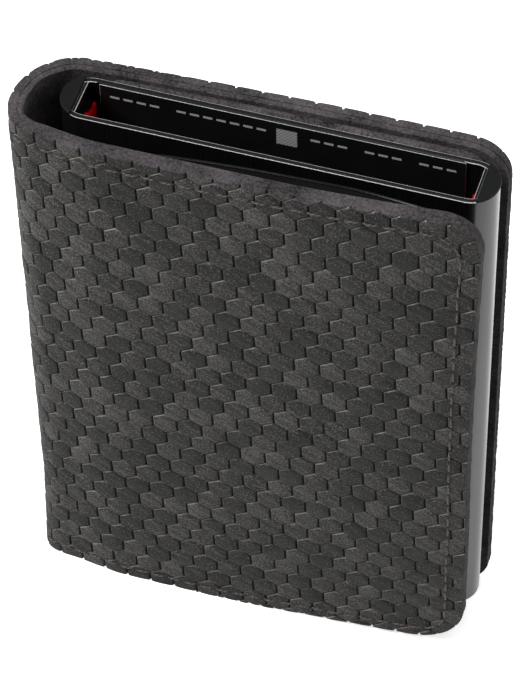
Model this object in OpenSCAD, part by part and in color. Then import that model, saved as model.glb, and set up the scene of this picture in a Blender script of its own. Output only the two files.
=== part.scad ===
// Slim leather wallet around an aluminium card protector.
// A leather cover (rear panel, spine and flap) wraps a flat aluminium tube that
// holds the cards. A stepped lever at the foot of the tube fans the cards out.
// Frame: X across the wallet, spine on the left; Y through its thickness, flap at
// the front (-Y); Z up the cards. Origin at the centre of the foot.

/* [Cover] */
// Width of the closed wallet, spine to free edge
cover_w = 70; // [68:0.5:76]
// Thickness of the closed wallet
cover_d = 18.4; // [18:0.1:20]
// Height of the leather
cover_h = 100; // [98:0.5:106]
// Thickness of the embossed outer hide
hide_t = 1.4; // [1:0.1:1.6]
// Thickness of the suede lining behind it
lining_t = 1.0; // [0.6:0.1:1.1]
// Radius of the cover where it turns from the rear to the spine
rear_bend_r = 6.5; // [5.5:0.1:7]
// Radius of the cover where it turns from the spine to the flap
front_bend_r = 4.5; // [4:0.1:5.5]
// Radius of the free corners of both panels
corner_r = 6; // [3:0.5:8]

/* [Stitching] */
// Distance of the seam from the free edges
seam_inset = 3; // [2:0.25:4]
// Width of the thread
thread_w = 0.5; // [0.3:0.1:0.8]
// Depth of the thread in the hide
thread_d = 0.3; // [0.2:0.05:0.5]
// Distance of the seams' open ends from the spine's outside
seam_start = 9; // [8:0.5:14]

/* [Card protector] */
// Width of the aluminium tube
tube_w = 63; // [60:0.5:63]
// Thickness of the aluminium tube
tube_d = 8; // [7.6:0.1:8]
// Height of the tube's rim above the foot
rim_z = 99.3; // [97:0.1:101]
// Wall thickness of the tube
wall_t = 0.8; // [0.6:0.1:1]
// Clear width between the tube's two inner webs
channel_w = 57.2; // [56.5:0.1:57.5]
// Thickness of the inner webs
web_t = 0.5; // [0.4:0.1:0.8]
// Height of the tube's foot
tube_foot = 1; // [0.5:0.5:2]
// Depth of the plugs in the round ends of the mouth
plug_h = 6; // [3:0.5:12]

/* [Friction pads] */
// Thickness of the felt facing
felt_t = 0.7; // [0.4:0.1:0.7]
// Thickness of the foam behind the felt
foam_t = 0.7; // [0.4:0.1:0.7]
// Width of each pad through the thickness of the tube
pad_w = 5; // [4:0.1:5.4]
// Height of the pads' lower ends
pad_foot = 32; // [31:1:60]
// Height of the left pad's upper end
pad_top_left = 97.6; // [90:0.1:98]
// Height of the right pad's upper end
pad_top_right = 94.6; // [90:0.1:98]

/* [Ejector] */
// Height of the ledge that the cards stand on
card_z = 12; // [12:0.5:13]
// Distance of the lever's pin from the channel's right web
pin_x_inset = 5.8; // [5.5:0.1:6.2]
// Height of the lever's pin
pin_z = 7.5; // [7.4:0.1:7.6]
// Radius of the pin
pin_r = 1; // [0.8:0.1:1.2]
// Running clearance of the lever on its pin
pin_play = 0.05; // [0.02:0.01:0.1]
// Length of the lever's longest step
arm_l = 44; // [40:0.5:44]
// How much shorter each next step is
step_l = 5; // [3:0.5:6]
// Number of steps, one for each card
steps = 5; // [3:1:6]
// Radius of the finger piece about the pin
trigger_r = 7.2; // [6.8:0.1:7.3]

/* [Hidden] */
$fn = 64;

hide_black = "#3a3937";
suede_black = "#2c2a29";
anodised_black = "#141416";
plastic_black = "#1d1d1f";
felt_red = "#b3121c";
thread_brown = "#6b5a58";
steel_grey = "#9a9ca0";

// cover
x_left = -cover_w / 2;
x_right = cover_w / 2;
y_front = -cover_d / 2;
y_rear = cover_d / 2;
skin_t = hide_t + lining_t;
rear_bend = [x_left + rear_bend_r, y_rear - rear_bend_r];
front_bend = [x_left + front_bend_r, y_front + front_bend_r];
half_gap = 0.05;
half_diag = sqrt(0.5);
hinge_rear = rear_bend + rear_bend_r * [-half_diag, half_diag];
hinge_front = front_bend + front_bend_r * [-half_diag, -half_diag];

// card protector: it ends just inside the cover's free edge
edge_play = 0.3;
tube_x = x_right - edge_play - tube_w / 2;
tube_y = 0.9;
inner_d = tube_d - 2 * wall_t;
y_in_front = tube_y - inner_d / 2;
y_in_rear = tube_y + inner_d / 2;
x_web_left = tube_x - channel_w / 2;
x_web_right = tube_x + channel_w / 2;
fit = 0.15;
heel_z = 7.4;
heel_x = 17;

// rear stack between the tube and the cover
pad_tape_t = 0.3;
y_tube_rear = tube_y + tube_d / 2;
y_pocket = y_tube_rear + pad_tape_t;
y_lining_rear = y_rear - skin_t;
y_lining_front = y_front + skin_t;

// flap pockets
pocket_t = 0.7;
pocket_left = -14;
pocket_top = 98.2;
pocket_corner = 2.5;

// inner plate
plate_t = 0.25;
plate_left = -23.8;
plate_right = 29.2;
plate_foot = 70;
plate_top = rim_z;

// ejector
pin = [x_web_right - pin_x_inset, pin_z];
lug_t = 0.8;
y_lug_front = y_in_front + fit;
y_lug_rear = y_in_rear - fit;
y_hub_front = y_lug_front + lug_t + 0.05;
y_hub_rear = y_lug_rear - lug_t - 0.05;
cap_top = 8.3;
arm_under = cap_top + 0.3;
arm_top = card_z - 0.6;
arm_wide_x = pin[0] - 13.5;
lug_left = pin[0] - 10.5;
lug_right = pin[0] + 4;
lug_foot = 3.5;
hub_r = 2.6;
cap_right = 14;
ledge_right = -20;
eps = 0.01;

// ---- helpers -------------------------------------------------------------

// Draws a shape given in X and Z, from the depth y0 to the depth y1.
module along_y(y0, y1) {
  translate([0, y1, 0]) rotate([90, 0, 0]) linear_extrude(y1 - y0) children();
}

// A rectangle with all four corners rounded.
module round_rect(low, high, r) {
  translate([low[0] + r, low[1]]) square([high[0] - low[0] - 2 * r, high[1] - low[1]]);
  translate([low[0], low[1] + r]) square([high[0] - low[0], high[1] - low[1] - 2 * r]);
  for (x = [low[0] + r, high[0] - r], y = [low[1] + r, high[1] - r])
    translate([x, y]) circle(r);
}

// A cover panel's outline in X and Z: square at the spine, round at the free edge.
module panel_outline(left, inset = 0) {
  intersection() {
    round_rect([x_left - corner_r, inset], [x_right - inset, cover_h - inset], corner_r - inset);
    translate([left, 0]) square([x_right - left, cover_h]);
  }
}

// The seam that runs in from the spine, round the free edge and back.
module seam_outline() {
  difference() {
    panel_outline(x_left + seam_start, seam_inset);
    translate([-eps, 0]) panel_outline(x_left + seam_start - 1, seam_inset + thread_w);
  }
}

// A flat ring seen from above, between two radii.
module ring(r_out, r_in) {
  difference() {
    circle(r_out);
    circle(r_in);
  }
}

// One layer of the cover seen from above, from the depth d0 to d1 under its outside.
module cover_layer(d0, d1) {
  translate([rear_bend[0], y_rear - d1]) square([x_right - rear_bend[0], d1 - d0]);
  translate([front_bend[0], y_front + d0]) square([x_right - front_bend[0], d1 - d0]);
  translate([x_left + d0, front_bend[1]]) square([d1 - d0, rear_bend[1] - front_bend[1]]);
  intersection() {
    translate(rear_bend) ring(rear_bend_r - d0, rear_bend_r - d1);
    translate(rear_bend + [-rear_bend_r, 0]) square(rear_bend_r);
  }
  intersection() {
    translate(front_bend) ring(front_bend_r - d0, front_bend_r - d1);
    translate(front_bend - [front_bend_r, front_bend_r]) square(front_bend_r);
  }
}

// The region seen from above that lies behind the rear fold, ahead of the front
// fold, or between the two. Each fold is a 45 degree cut through its hinge line.
module behind_rear_fold(gap) {
  translate(hinge_rear) rotate(-45) translate([-cover_d, gap]) square([2 * cover_w, cover_w]);
}
module ahead_of_front_fold(gap) {
  translate(hinge_front) rotate(45) translate([-cover_d, -cover_w - gap])
    square([2 * cover_w, cover_w]);
}
module rear_region() {
  translate([0, 0]) square([x_right, cover_d]);
  intersection() {
    behind_rear_fold(half_gap);
    translate([x_left, 0]) square([-x_left + eps, cover_d]);
  }
}
module front_region() {
  translate([0, -cover_d]) square([x_right, cover_d]);
  intersection() {
    ahead_of_front_fold(half_gap);
    translate([x_left, -cover_d]) square([-x_left + eps, cover_d]);
  }
}
module spine_region() {
  difference() {
    translate([x_left - 1, y_front - 1]) square([front_bend_r + rear_bend_r, cover_d + 2]);
    behind_rear_fold(-half_gap);
    ahead_of_front_fold(-half_gap);
  }
}

// A layer of a panel, as tall as the cover and with its free corners rounded.
module cover_panel(d0, d1) {
  intersection() {
    linear_extrude(cover_h) intersection() {
      cover_layer(d0, d1);
      children();
    }
    along_y(y_front - 1, y_rear + 1) panel_outline(x_left - 1);
  }
}

// The tube's outline seen from above.
module stadium(w, d) {
  translate([tube_x, tube_y]) {
    square([w - d, d], center = true);
    for (s = [-1, 1]) translate([s * (w - d) / 2, 0]) circle(d / 2);
  }
}

// ---- card protector ------------------------------------------------------

module housing_tube() {
  color(anodised_black) difference() {
    translate([0, 0, tube_foot]) linear_extrude(rim_z - tube_foot) {
      difference() {
        stadium(tube_w, tube_d);
        stadium(tube_w - 2 * wall_t, inner_d);
      }
      for (x = [x_web_left - web_t, x_web_right])
        translate([x, y_in_front - eps]) square([web_t, inner_d + 2 * eps]);
    }
    translate([heel_x, tube_y - tube_d, tube_foot - 1])
      cube([tube_w, 2 * tube_d, heel_z - tube_foot + 1]);
  }
}

// A plug that fills one round end of the tube's mouth, beside the web.
module mouth_plug(side) {
  color(plastic_black) translate([0, 0, rim_z - plug_h]) linear_extrude(plug_h - 0.15)
    intersection() {
      stadium(tube_w - 2 * wall_t, inner_d);
      translate([tube_x + side * (channel_w / 2 + web_t + tube_d / 2), tube_y])
        square([tube_d, tube_d], center = true);
    }
}
module mouth_plug_left() { mouth_plug(-1); }
module mouth_plug_right() { mouth_plug(1); }

// One layer of a friction pad, from d0 to d1 off the face of its web.
module pad_layer(side, d0, d1, top) {
  x0 = side < 0 ? x_web_left + d0 : x_web_right - d1;
  translate([x0, tube_y - pad_w / 2, pad_foot]) cube([d1 - d0, pad_w, top - pad_foot]);
}
module pad_foam_left() { color(plastic_black) pad_layer(-1, 0, foam_t, pad_top_left); }
module pad_foam_right() { color(plastic_black) pad_layer(1, 0, foam_t, pad_top_right); }
module pad_felt_left() { color(felt_red) pad_layer(-1, foam_t, foam_t + felt_t, pad_top_left); }
module pad_felt_right() { color(felt_red) pad_layer(1, foam_t, foam_t + felt_t, pad_top_right); }

// Thin printed wear plate on the rear wall inside the mouth.
module inner_plate() {
  color(plastic_black) along_y(y_in_rear - plate_t, y_in_rear)
    translate([plate_left, plate_foot])
      square([plate_right - plate_left, plate_top - plate_foot]);
}

// Block that closes the tube's foot, with two lugs that hold the lever's pin.
module base_cap() {
  color(plastic_black) difference() {
    union() {
      along_y(y_in_front + fit, y_in_rear - fit) {
        translate([x_web_left + fit, tube_foot])
          square([cap_right - x_web_left - fit, cap_top - tube_foot]);
        translate([x_web_left + fit, cap_top - eps])
          square([ledge_right - x_web_left - fit, card_z - cap_top + eps]);
      }
      for (y = [y_lug_front, y_lug_rear - lug_t]) along_y(y, y + lug_t) {
        translate([cap_right - 3, lug_foot]) square([lug_left - cap_right + 4, cap_top - lug_foot]);
        translate([lug_left, lug_foot]) square([lug_right - lug_left, card_z - lug_foot]);
      }
    }
    along_y(y_in_front - 1, y_in_rear + 1) translate(pin) circle(pin_r);
  }
}

module pivot_pin() {
  color(steel_grey) along_y(y_lug_front, y_lug_rear) translate(pin) circle(pin_r);
}

// Bell crank: a stepped arm under the cards and a round finger piece at the heel.
module ejector_lever() {
  step_d = (inner_d - 2 * fit) / steps;
  color(plastic_black) difference() {
    union() {
      for (i = [0 : steps - 1]) {
        y0 = y_in_front + fit + i * step_d;
        along_y(y0, y0 + step_d + (i < steps - 1 ? eps : 0))
          translate([pin[0] - arm_l + i * step_l, arm_under])
            square([arm_wide_x - pin[0] + arm_l - i * step_l, arm_top - arm_under]);
      }
      along_y(y_hub_front, y_hub_rear) {
        translate([arm_wide_x - eps, arm_under])
          square([pin[0] - arm_wide_x, arm_top - arm_under]);
        translate(pin) circle(hub_r);
        intersection() {
          translate(pin) circle(trigger_r);
          translate(pin) polygon([[0, 1], [-1.5, 0], [-1, -trigger_r], [trigger_r, -trigger_r],
            [trigger_r + 1, -1.1], [2, -1.1]]);
        }
      }
    }
    along_y(y_in_front - 1, y_in_rear + 1) translate(pin) circle(pin_r + pin_play);
  }
}

// ---- rear of the cover ---------------------------------------------------

// Adhesive sheet between the tube and the rear pocket.
module bonding_pad() {
  color(plastic_black) along_y(y_tube_rear, y_pocket)
    round_rect([tube_x - 24, 12], [tube_x + 24, rim_z - 8], 2);
}

// Leather layer that the tube is bonded to. It forms a slot with the lining.
module rear_pocket() {
  color(hide_black) along_y(y_pocket, y_lining_rear)
    round_rect([tube_x - 27, 2], [tube_x + 28.5, cover_h - 0.6], 3);
}

module rear_lining() { color(suede_black) cover_panel(hide_t, skin_t) rear_region(); }

module rear_panel() {
  color(hide_black) difference() {
    cover_panel(0, hide_t) rear_region();
    along_y(y_rear - thread_d, y_rear + 1) seam_outline();
  }
}

module rear_stitching() {
  color(thread_brown) along_y(y_rear - thread_d, y_rear) seam_outline();
}

// ---- spine ---------------------------------------------------------------

module spine_lining() { color(suede_black) cover_panel(hide_t, skin_t) spine_region(); }
module spine_panel() { color(hide_black) cover_panel(0, hide_t) spine_region(); }

// ---- flap ----------------------------------------------------------------

module flap_panel() {
  color(hide_black) difference() {
    cover_panel(0, hide_t) front_region();
    along_y(y_front - 1, y_front + thread_d) seam_outline();
  }
}

module flap_lining() { color(suede_black) cover_panel(hide_t, skin_t) front_region(); }

// Two thin layers sewn inside the flap. Cards slide in between them from the spine.
module flap_pocket_back() {
  color(suede_black) along_y(y_lining_front, y_lining_front + pocket_t)
    round_rect([pocket_left + 2, 2], [x_right - 1.5, pocket_top - 1.5], pocket_corner);
}
module flap_pocket_front() {
  color(anodised_black) along_y(y_lining_front + pocket_t, y_lining_front + 2 * pocket_t)
    round_rect([pocket_left, 1.5], [x_right - 1.5, pocket_top], pocket_corner);
}

module flap_stitching() {
  color(thread_brown) along_y(y_front, y_front + thread_d) seam_outline();
}

housing_tube();
mouth_plug_left();
mouth_plug_right();
pad_foam_left();
pad_foam_right();
pad_felt_left();
pad_felt_right();
inner_plate();
base_cap();
pivot_pin();
ejector_lever();
bonding_pad();
rear_pocket();
rear_lining();
rear_panel();
rear_stitching();
spine_lining();
spine_panel();
flap_panel();
flap_lining();
flap_pocket_back();
flap_pocket_front();
flap_stitching();
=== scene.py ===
# %% [markdown]
# # A slim leather wallet round a metal card tube
#
# The wallet is a strip of embossed leather folded round a flat black tube that holds
# bank cards. The imported model gives every size and every moving body. This script
# only dresses it: leather with a relief of hexagon tiles, raw cut edges, real
# stitches, an anodised tube whose rim chamfers carry a painted highlight, felt pads
# and moulded plastic.

# %% The frame, and what is measured from it
import math

import bpy
import numpy as np
from mathutils import Matrix, Vector
from mathutils.geometry import delaunay_2d_cdt


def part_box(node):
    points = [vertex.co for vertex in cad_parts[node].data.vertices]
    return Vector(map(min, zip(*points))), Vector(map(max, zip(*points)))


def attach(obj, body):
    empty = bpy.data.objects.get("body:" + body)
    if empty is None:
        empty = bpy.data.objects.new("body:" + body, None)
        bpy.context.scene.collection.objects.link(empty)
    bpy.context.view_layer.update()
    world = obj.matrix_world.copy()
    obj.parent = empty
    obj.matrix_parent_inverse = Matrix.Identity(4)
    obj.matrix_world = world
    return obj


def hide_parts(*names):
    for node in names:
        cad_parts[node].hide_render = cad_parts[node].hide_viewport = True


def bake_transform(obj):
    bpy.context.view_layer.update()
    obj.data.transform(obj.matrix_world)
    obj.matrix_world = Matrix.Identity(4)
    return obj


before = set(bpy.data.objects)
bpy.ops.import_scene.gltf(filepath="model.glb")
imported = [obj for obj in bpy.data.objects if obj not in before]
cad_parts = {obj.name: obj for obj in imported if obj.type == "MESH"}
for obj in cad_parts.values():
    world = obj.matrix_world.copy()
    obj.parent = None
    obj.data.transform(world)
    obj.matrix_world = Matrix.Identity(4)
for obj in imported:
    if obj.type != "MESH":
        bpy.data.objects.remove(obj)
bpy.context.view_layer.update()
MM = 0.001

rear_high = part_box("rear_panel")[1]
flap_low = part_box("flap_panel")[0]
spine_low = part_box("spine_panel")[0]
tube_low, tube_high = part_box("housing_tube")

X_SPINE = spine_low.x
X_FREE = rear_high.x
Y_REAR = rear_high.y
Y_FLAP = flap_low.y
HEIGHT = rear_high.z
HIDE = 1.4 * MM
print("cover", round((X_FREE - X_SPINE) / MM, 1), round((Y_REAR - Y_FLAP) / MM, 1), "mm")

# %% [markdown]
# ## Camera
#
# The camera looks down on the mouth from the front and a little from the right. It
# stands half a metre away with a long lens, so the sides converge only slightly. Its
# three axes are written down directly: backwards from the azimuth and elevation, then
# right and up turned by a small roll.

# %% Camera
AZIMUTH = math.radians(18.305)
ELEVATION = math.radians(50.11)
ROLL = math.radians(-1.323)
DISTANCE = 530.9 * MM
TARGET = Vector((-0.12, 0.9, 53.65)) * MM
LENS = 186.9
SENSOR = 36
NEAREST = 0.01


def make_camera():
    """Stands the camera DISTANCE behind TARGET along the view's backward axis."""
    back = Vector((math.sin(AZIMUTH) * math.cos(ELEVATION),
                   -math.cos(AZIMUTH) * math.cos(ELEVATION), math.sin(ELEVATION)))
    right = Vector((math.cos(AZIMUTH), math.sin(AZIMUTH), 0))
    up = back.cross(right)
    turned_right = right * math.cos(ROLL) + up * math.sin(ROLL)
    turned_up = up * math.cos(ROLL) - right * math.sin(ROLL)
    data = bpy.data.cameras.new("camera")
    data.lens = LENS
    data.sensor_width = SENSOR
    data.clip_start = NEAREST
    camera = bpy.data.objects.new("camera", data)
    bpy.context.scene.collection.objects.link(camera)
    axes = Matrix((turned_right, turned_up, back)).transposed()
    camera.matrix_world = Matrix.Translation(TARGET + back * DISTANCE) @ axes.to_4x4()
    bpy.context.scene.camera = camera
    return camera


camera = make_camera()
print("camera at", [round(v, 3) for v in camera.location])

# %% [markdown]
# ## Arrays into meshes
#
# Every new piece is worked out as numpy arrays of points and faces. One helper puts
# them into a Blender mesh, welds nothing, and marks edges sharper than an angle.
# Another stores a number or a vector for every point or face, which a material can
# read by its name.

# %% Mesh helper
def new_piece(name, points, faces, sharp=40, indices=None):
    """Makes an object from points (n, 3) in metres and a list of faces."""
    mesh = bpy.data.meshes.new(name)
    mesh.from_pydata(np.asarray(points).tolist(), [], [list(map(int, f)) for f in faces])
    if indices is not None:
        mesh.polygons.foreach_set("material_index", np.asarray(indices, np.int32))
    mesh.polygons.foreach_set("use_smooth", np.ones(len(mesh.polygons), bool))
    mesh.set_sharp_from_angle(angle=math.radians(sharp))
    mesh.validate()
    mesh.update()
    piece = bpy.data.objects.new(name, mesh)
    bpy.context.scene.collection.objects.link(piece)
    return piece


def write_attribute(piece, name, values, domain="POINT"):
    """Stores one number, or one vector, for each point or face under a name."""
    values = np.asarray(values, np.float32)
    kind, field = ("FLOAT", "value") if values.ndim == 1 else ("FLOAT_VECTOR", "vector")
    attribute = piece.data.attributes.new(name, kind, domain)
    attribute.data.foreach_set(field, values.ravel())


def smooth(t):
    """0 below 0, 1 above 1, and 3t^2 - 2t^3 between."""
    t = np.clip(t, 0, 1)
    return t * t * (3 - 2 * t)


def ramp_up(value, start, span):
    """Smoothly 0 to 1 from start to start + span; a negative span runs downwards."""
    return smooth((value - start) / span)


# %% [markdown]
# ## The cover as one strip
#
# The hide is one long strip, so every point on it has three strip coordinates: `s`
# along the strip from the rear free edge round the spine to the flap's free edge, `z`
# up, and `d` down into the thickness. `cover_point` rolls them into space: straight
# along the rear, a quarter circle, straight along the spine, a quarter circle, and
# straight along the flap. Folding one flat strip keeps the leather's length true, and
# keeps one pattern of tiles running round the spine without a join.

# %% The strip's path
BEND_REAR = 6.5 * MM
BEND_FLAP = 4.5 * MM
LEN_REAR = X_FREE - X_SPINE - BEND_REAR
LEN_SPINE = (Y_REAR - BEND_REAR) - (Y_FLAP + BEND_FLAP)
LEN_FLAP = X_FREE - X_SPINE - BEND_FLAP
S_SPINE = LEN_REAR + BEND_REAR * math.pi / 2
S_MID = S_SPINE + LEN_SPINE / 2
S_BEND = S_SPINE + LEN_SPINE
S_FLAP = S_BEND + BEND_FLAP * math.pi / 2
S_END = S_FLAP + LEN_FLAP


def roll_up(s, d):
    """Rolls a place s along the strip, at depth d, round the spine; returns x and y.

    The turned angle is the arc length spent in each bend over its radius. The point is
    the start, minus the straight lengths along the turned direction, with each bend
    adding R sin a and R (1 - cos a). Depth goes against the outward normal
    (-sin a, cos a).
    """
    a1 = np.clip((s - LEN_REAR) / BEND_REAR, 0, math.pi / 2)
    a2 = np.clip((s - S_BEND) / BEND_FLAP, 0, math.pi / 2)
    down = np.clip(s - S_SPINE, 0, LEN_SPINE)
    away = np.clip(s - S_FLAP, 0, None)
    x = X_FREE - np.clip(s, None, LEN_REAR) - BEND_REAR * np.sin(a1)
    x = x + BEND_FLAP * (1 - np.cos(a2)) + away
    y = Y_REAR - BEND_REAR * (1 - np.cos(a1)) - down - BEND_FLAP * np.sin(a2)
    turn = a1 + a2
    return x + d * np.sin(turn), y - d * np.cos(turn)


print("strip", round(S_END / MM, 1), "mm long")

# %% [markdown]
# ## How the leather relaxes
#
# A cover that has been folded for a while isn't square: the flap leans in at its foot,
# pinches at the spine, curls and draws in at its free edge, and lifts at one corner,
# and the bends are tucked in. A cloth simulation could find such a shape, but stiff
# leather hardly drapes, so each of these is one length times smooth ramps. The pairs
# below are where a ramp starts and over what length it rises.

# %% Relaxed leather
FLAP_LEAN = 1.6 * MM
FLAP_PINCH, PINCH_X = 1.2 * MM, (-20 * MM, -12 * MM)
FLAP_CURL, CURL_FROM, CURL_LIMIT, CURL_SPAN = 0.5 * MM, 17 * MM, 18 * MM, 15 * MM
CORNER_CURL, CORNER_REACH = np.array([-0.8, 1.2, 1.1]) * MM, (44 * MM, 34 * MM)
CORNER_LIFT, LIFT_X, LIFT_Z = 1.1 * MM, (4 * MM, 28 * MM), (84 * MM, 14 * MM)
EDGE_WAIST, WAIST_X = 0.75 * MM, (8 * MM, 27 * MM)
REAR_PINCH, REAR_PINCH_X = 0.7 * MM, (12 * MM, -36 * MM)
REAR_BEND_TUCK = np.array([1.83, -0.56]) * MM
SPINE_BULGE, SPINE_SPREAD = -1.01 * MM, 0.8
FLAP_BEND_TUCK, BEND_SPREAD = 1.35 * MM, 1.257
BEND_MIDDLE = 0.785
FOOT_HELD = (0, 20 * MM)


def cover_point(s, z, d):
    """Rolls strip coordinates into space, then adds the relaxing offsets.

    An offset acts on the flap or on the rear by a ramp along s, near an edge by ramps
    along x and z, and in a bend by a bell curve round the bend's middle.
    """
    s, z, d = np.broadcast_arrays(np.asarray(s, float), z, d)
    x, y = roll_up(s, d)
    to_flap = smooth((s - S_MID) / (S_FLAP - S_MID))
    to_rear = smooth((S_MID - s) / (S_MID - LEN_REAR))
    lean = FLAP_LEAN * (1 - z / HEIGHT)
    pinch = FLAP_PINCH * ramp_up(x, *PINCH_X)
    curl = FLAP_CURL * (np.clip(x - CURL_FROM, 0, CURL_LIMIT) / CURL_SPAN) ** 2
    y = y + to_flap * (lean + pinch + curl)
    y = y - to_rear * REAR_PINCH * ramp_up(x, *REAR_PINCH_X)
    free = ramp_up(z, *FOOT_HELD)
    rear = free * np.exp(-((s - LEN_REAR) / BEND_REAR - BEND_MIDDLE) ** 2 / 2)
    spine = free * np.exp(-((s - S_MID) / (SPINE_SPREAD * LEN_SPINE)) ** 2)
    bend = free * np.exp(-(((s - S_BEND) / BEND_FLAP - BEND_MIDDLE) / BEND_SPREAD) ** 2)
    far = np.hypot((X_FREE - x) / CORNER_REACH[0], z / CORNER_REACH[1])
    corner = to_flap * smooth(1 - far)
    belly = np.sin(np.clip(z / HEIGHT, 0, 1) * math.pi)
    waist = to_flap * belly * ramp_up(x, *WAIST_X)
    x = x + REAR_BEND_TUCK[0] * rear + SPINE_BULGE * spine + FLAP_BEND_TUCK * bend
    x = x - EDGE_WAIST * waist
    lift = to_flap * ramp_up(x, *LIFT_X) * ramp_up(z, *LIFT_Z)
    z = z + CORNER_LIFT * lift
    point = np.stack([x, y + REAR_BEND_TUCK[1] * rear, z], -1)
    return point + corner[..., None] * CORNER_CURL


print("flap leans in by", FLAP_LEAN / MM, "mm at the foot")

# %% [markdown]
# ## Hexagon tiles
#
# The embossing is a plate of hexagons pressed into the hide. The tile under a point is
# the nearest of a lattice of centres, and the distance to its border is the smallest
# over six neighbours of half the neighbour's distance minus the point's reach towards
# it. The groove's profile is a function of that one distance. Grooves on two opposite
# sides are wider. Each side also has its own weight of painted highlight on its rim,
# strongest on the upper-left side that faces the key light, and its own width of
# painted shade in its groove.

# %% Tile lattice
TILE = 3.86 * MM
ROW = 3.386 * MM
LATTICE_TURN = math.radians(2.3)
LATTICE_AT = np.array([S_FLAP + 43.1 * MM + TILE / 2, 93.9 * MM])
GROOVE_DEPTH = 0.4 * MM
GROOVE_WIDTHS = np.array([1.25, 0.6, 0.6, 1.25, 0.6, 0.6])
GROOVE_INSETS = np.array([0.0, 0.05, 0.17, 0.42, 1.1, 1.93]) * MM
GROOVE_HEIGHTS = np.array([-1.0, -0.97, -0.12, 0.0, 0.06, 0.08]) * GROOVE_DEPTH
NEIGHBOURS = np.array([[TILE, 0], [TILE / 2, ROW], [-TILE / 2, ROW],
                       [-TILE, 0], [-TILE / 2, -ROW], [TILE / 2, -ROW]])
# Pale rim on each side, mostly painted highlight: side 2, the upper-left side that faces the
# key light, gets the most; the faint rest is rubbed wear.
RIM_PAINTED_HIGHLIGHT = np.array([0.05, 0.15, 1.0, 0.3, 0.05, 0.05])
# SHADE_WIDTHS: how far the painted shade reaches into each side's groove, widest on the
# lower-right side away from the key light.
SHADE_WIDTHS = np.array([1.3, 0.5, 0.7, 1.3, 0.5, 2.4])


def chance(i, j, seed):
    """A repeatable number from 0 to 1 for a tile: the fraction of a large sine."""
    value = np.sin(i * 12.9898 + j * 78.233 + seed * 37.719) * 43758.5453
    return value - np.floor(value)


def to_lattice(s, z):
    """Turns strip coordinates into the lattice's own axes."""
    c, n = math.cos(LATTICE_TURN), math.sin(LATTICE_TURN)
    ds, dz = s - LATTICE_AT[0], z - LATTICE_AT[1]
    return c * ds + n * dz, -n * ds + c * dz


def from_lattice(u, v):
    """The opposite of to_lattice."""
    c, n = math.cos(LATTICE_TURN), math.sin(LATTICE_TURN)
    return LATTICE_AT[0] + c * u - n * v, LATTICE_AT[1] + n * u + c * v

# %% The tile under a point
def tile_at(s, z):
    """(column, row, u and v from the tile's centre, distance to its border, side).

    The distance to each side is divided by that side's groove width, 1 being usual.
    The side is the number of the nearest one, in the order of NEIGHBOURS.
    """
    u, v = to_lattice(s, z)
    best = None
    for odd in (0, 1):
        row = 2 * np.round((v / ROW - odd) / 2) + odd
        column = np.round(u / TILE - odd / 2)
        du, dv = u - (column + odd / 2) * TILE, v - row * ROW
        far = du ** 2 + dv ** 2
        if best is None:
            best = [column, row, du, dv, far]
        else:
            near = far < best[4]
            best = [np.where(near, a, b) for a, b in zip((column, row, du, dv, far), best)]
    column, row, du, dv, _ = best
    away = [(math.hypot(*n) / 2 - (du * n[0] + dv * n[1]) / math.hypot(*n)) / width
            for n, width in zip(NEIGHBOURS, GROOVE_WIDTHS)]
    return column, row, du, dv, np.min(away, 0), np.argmin(away, 0)


print("tiles", round(TILE / MM, 2), "mm wide")

# %% [markdown]
# ## The relief of the hide
#
# A pressed tile isn't flat. Its groove wanders in width, each tile sits at its own
# level and tilts its own way, and the hide keeps a slow swell under them all. A bump map
# could suggest this, but the relief shows on the outline of the folded edge, so it is
# real height, worked out at every point of the face.

# %% Relief
GROOVE_WANDER, WANDER_SCALE = 0.25, 1.9 * MM
TILE_SHOULDER = 0.17 * MM
TILE_LEVEL, TILE_TILT, TILE_LEAN = 0.07 * MM, 0.035, 0.012
GRAIN_HEIGHT, GRAIN_SCALE = 0.012 * MM, 0.55 * MM
SWELL_HEIGHT, SWELL_SCALE = 0.03 * MM, 6 * MM
RELIEF_BASE = 0.05 * MM


def ripple(s, z, scale, seed):
    """A smooth wandering value about 0: three sines at odd angles, times each other."""
    a = np.sin((s * 1.0 + z * 0.37) / scale + seed)
    b = np.sin((z * 1.1 - s * 0.41) / scale + seed * 2.3)
    c = np.sin((s * 0.6 + z * 0.9) / scale * 1.7 + seed * 0.7)
    return (a * b + c) / 2


def relief(s, z):
    """Height of the hide's face: groove profile, tile tilt and level, and ripples."""
    column, row, du, dv, border, _ = tile_at(s, z)
    wide = 1 + GROOVE_WANDER * ripple(s, z, WANDER_SCALE, 1.0)
    height = np.interp(border / wide, GROOVE_INSETS, GROOVE_HEIGHTS)
    inside = ramp_up(border, 0, TILE_SHOULDER)
    level = (chance(column, row, 1) - 0.5) * TILE_LEVEL
    tilt = (chance(column, row, 2) - 0.5) * TILE_TILT * du
    tilt = tilt + ((chance(column, row, 3) - 0.5) * TILE_TILT + TILE_LEAN) * dv
    bumps = GRAIN_HEIGHT * ripple(s, z, GRAIN_SCALE, 5.0)
    bumps = bumps + SWELL_HEIGHT * ripple(s, z, SWELL_SCALE, 2.0)
    return height + inside * (level + tilt) + bumps - RELIEF_BASE


print("grooves", GROOVE_DEPTH / MM, "mm deep")

# %% [markdown]
# ## Sheets with thickness
#
# A leather layer is a closed solid: a face, a back, and a raw edge all round. The face
# is a constrained triangulation in strip coordinates, so that edges of the mesh run
# along every groove wall. Its border is then carried through the thickness in rows,
# each pushed in or out a little, which gives the edge its rounded, fibrous look. The
# back is a coarser triangulation of the last row.

# %% Points along a border
def line(a, b, step):
    """Evenly spaced points from a to b, both included."""
    count = max(2, int(round(math.dist(a, b) / step)) + 1)
    return np.linspace(a, b, count)


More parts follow.
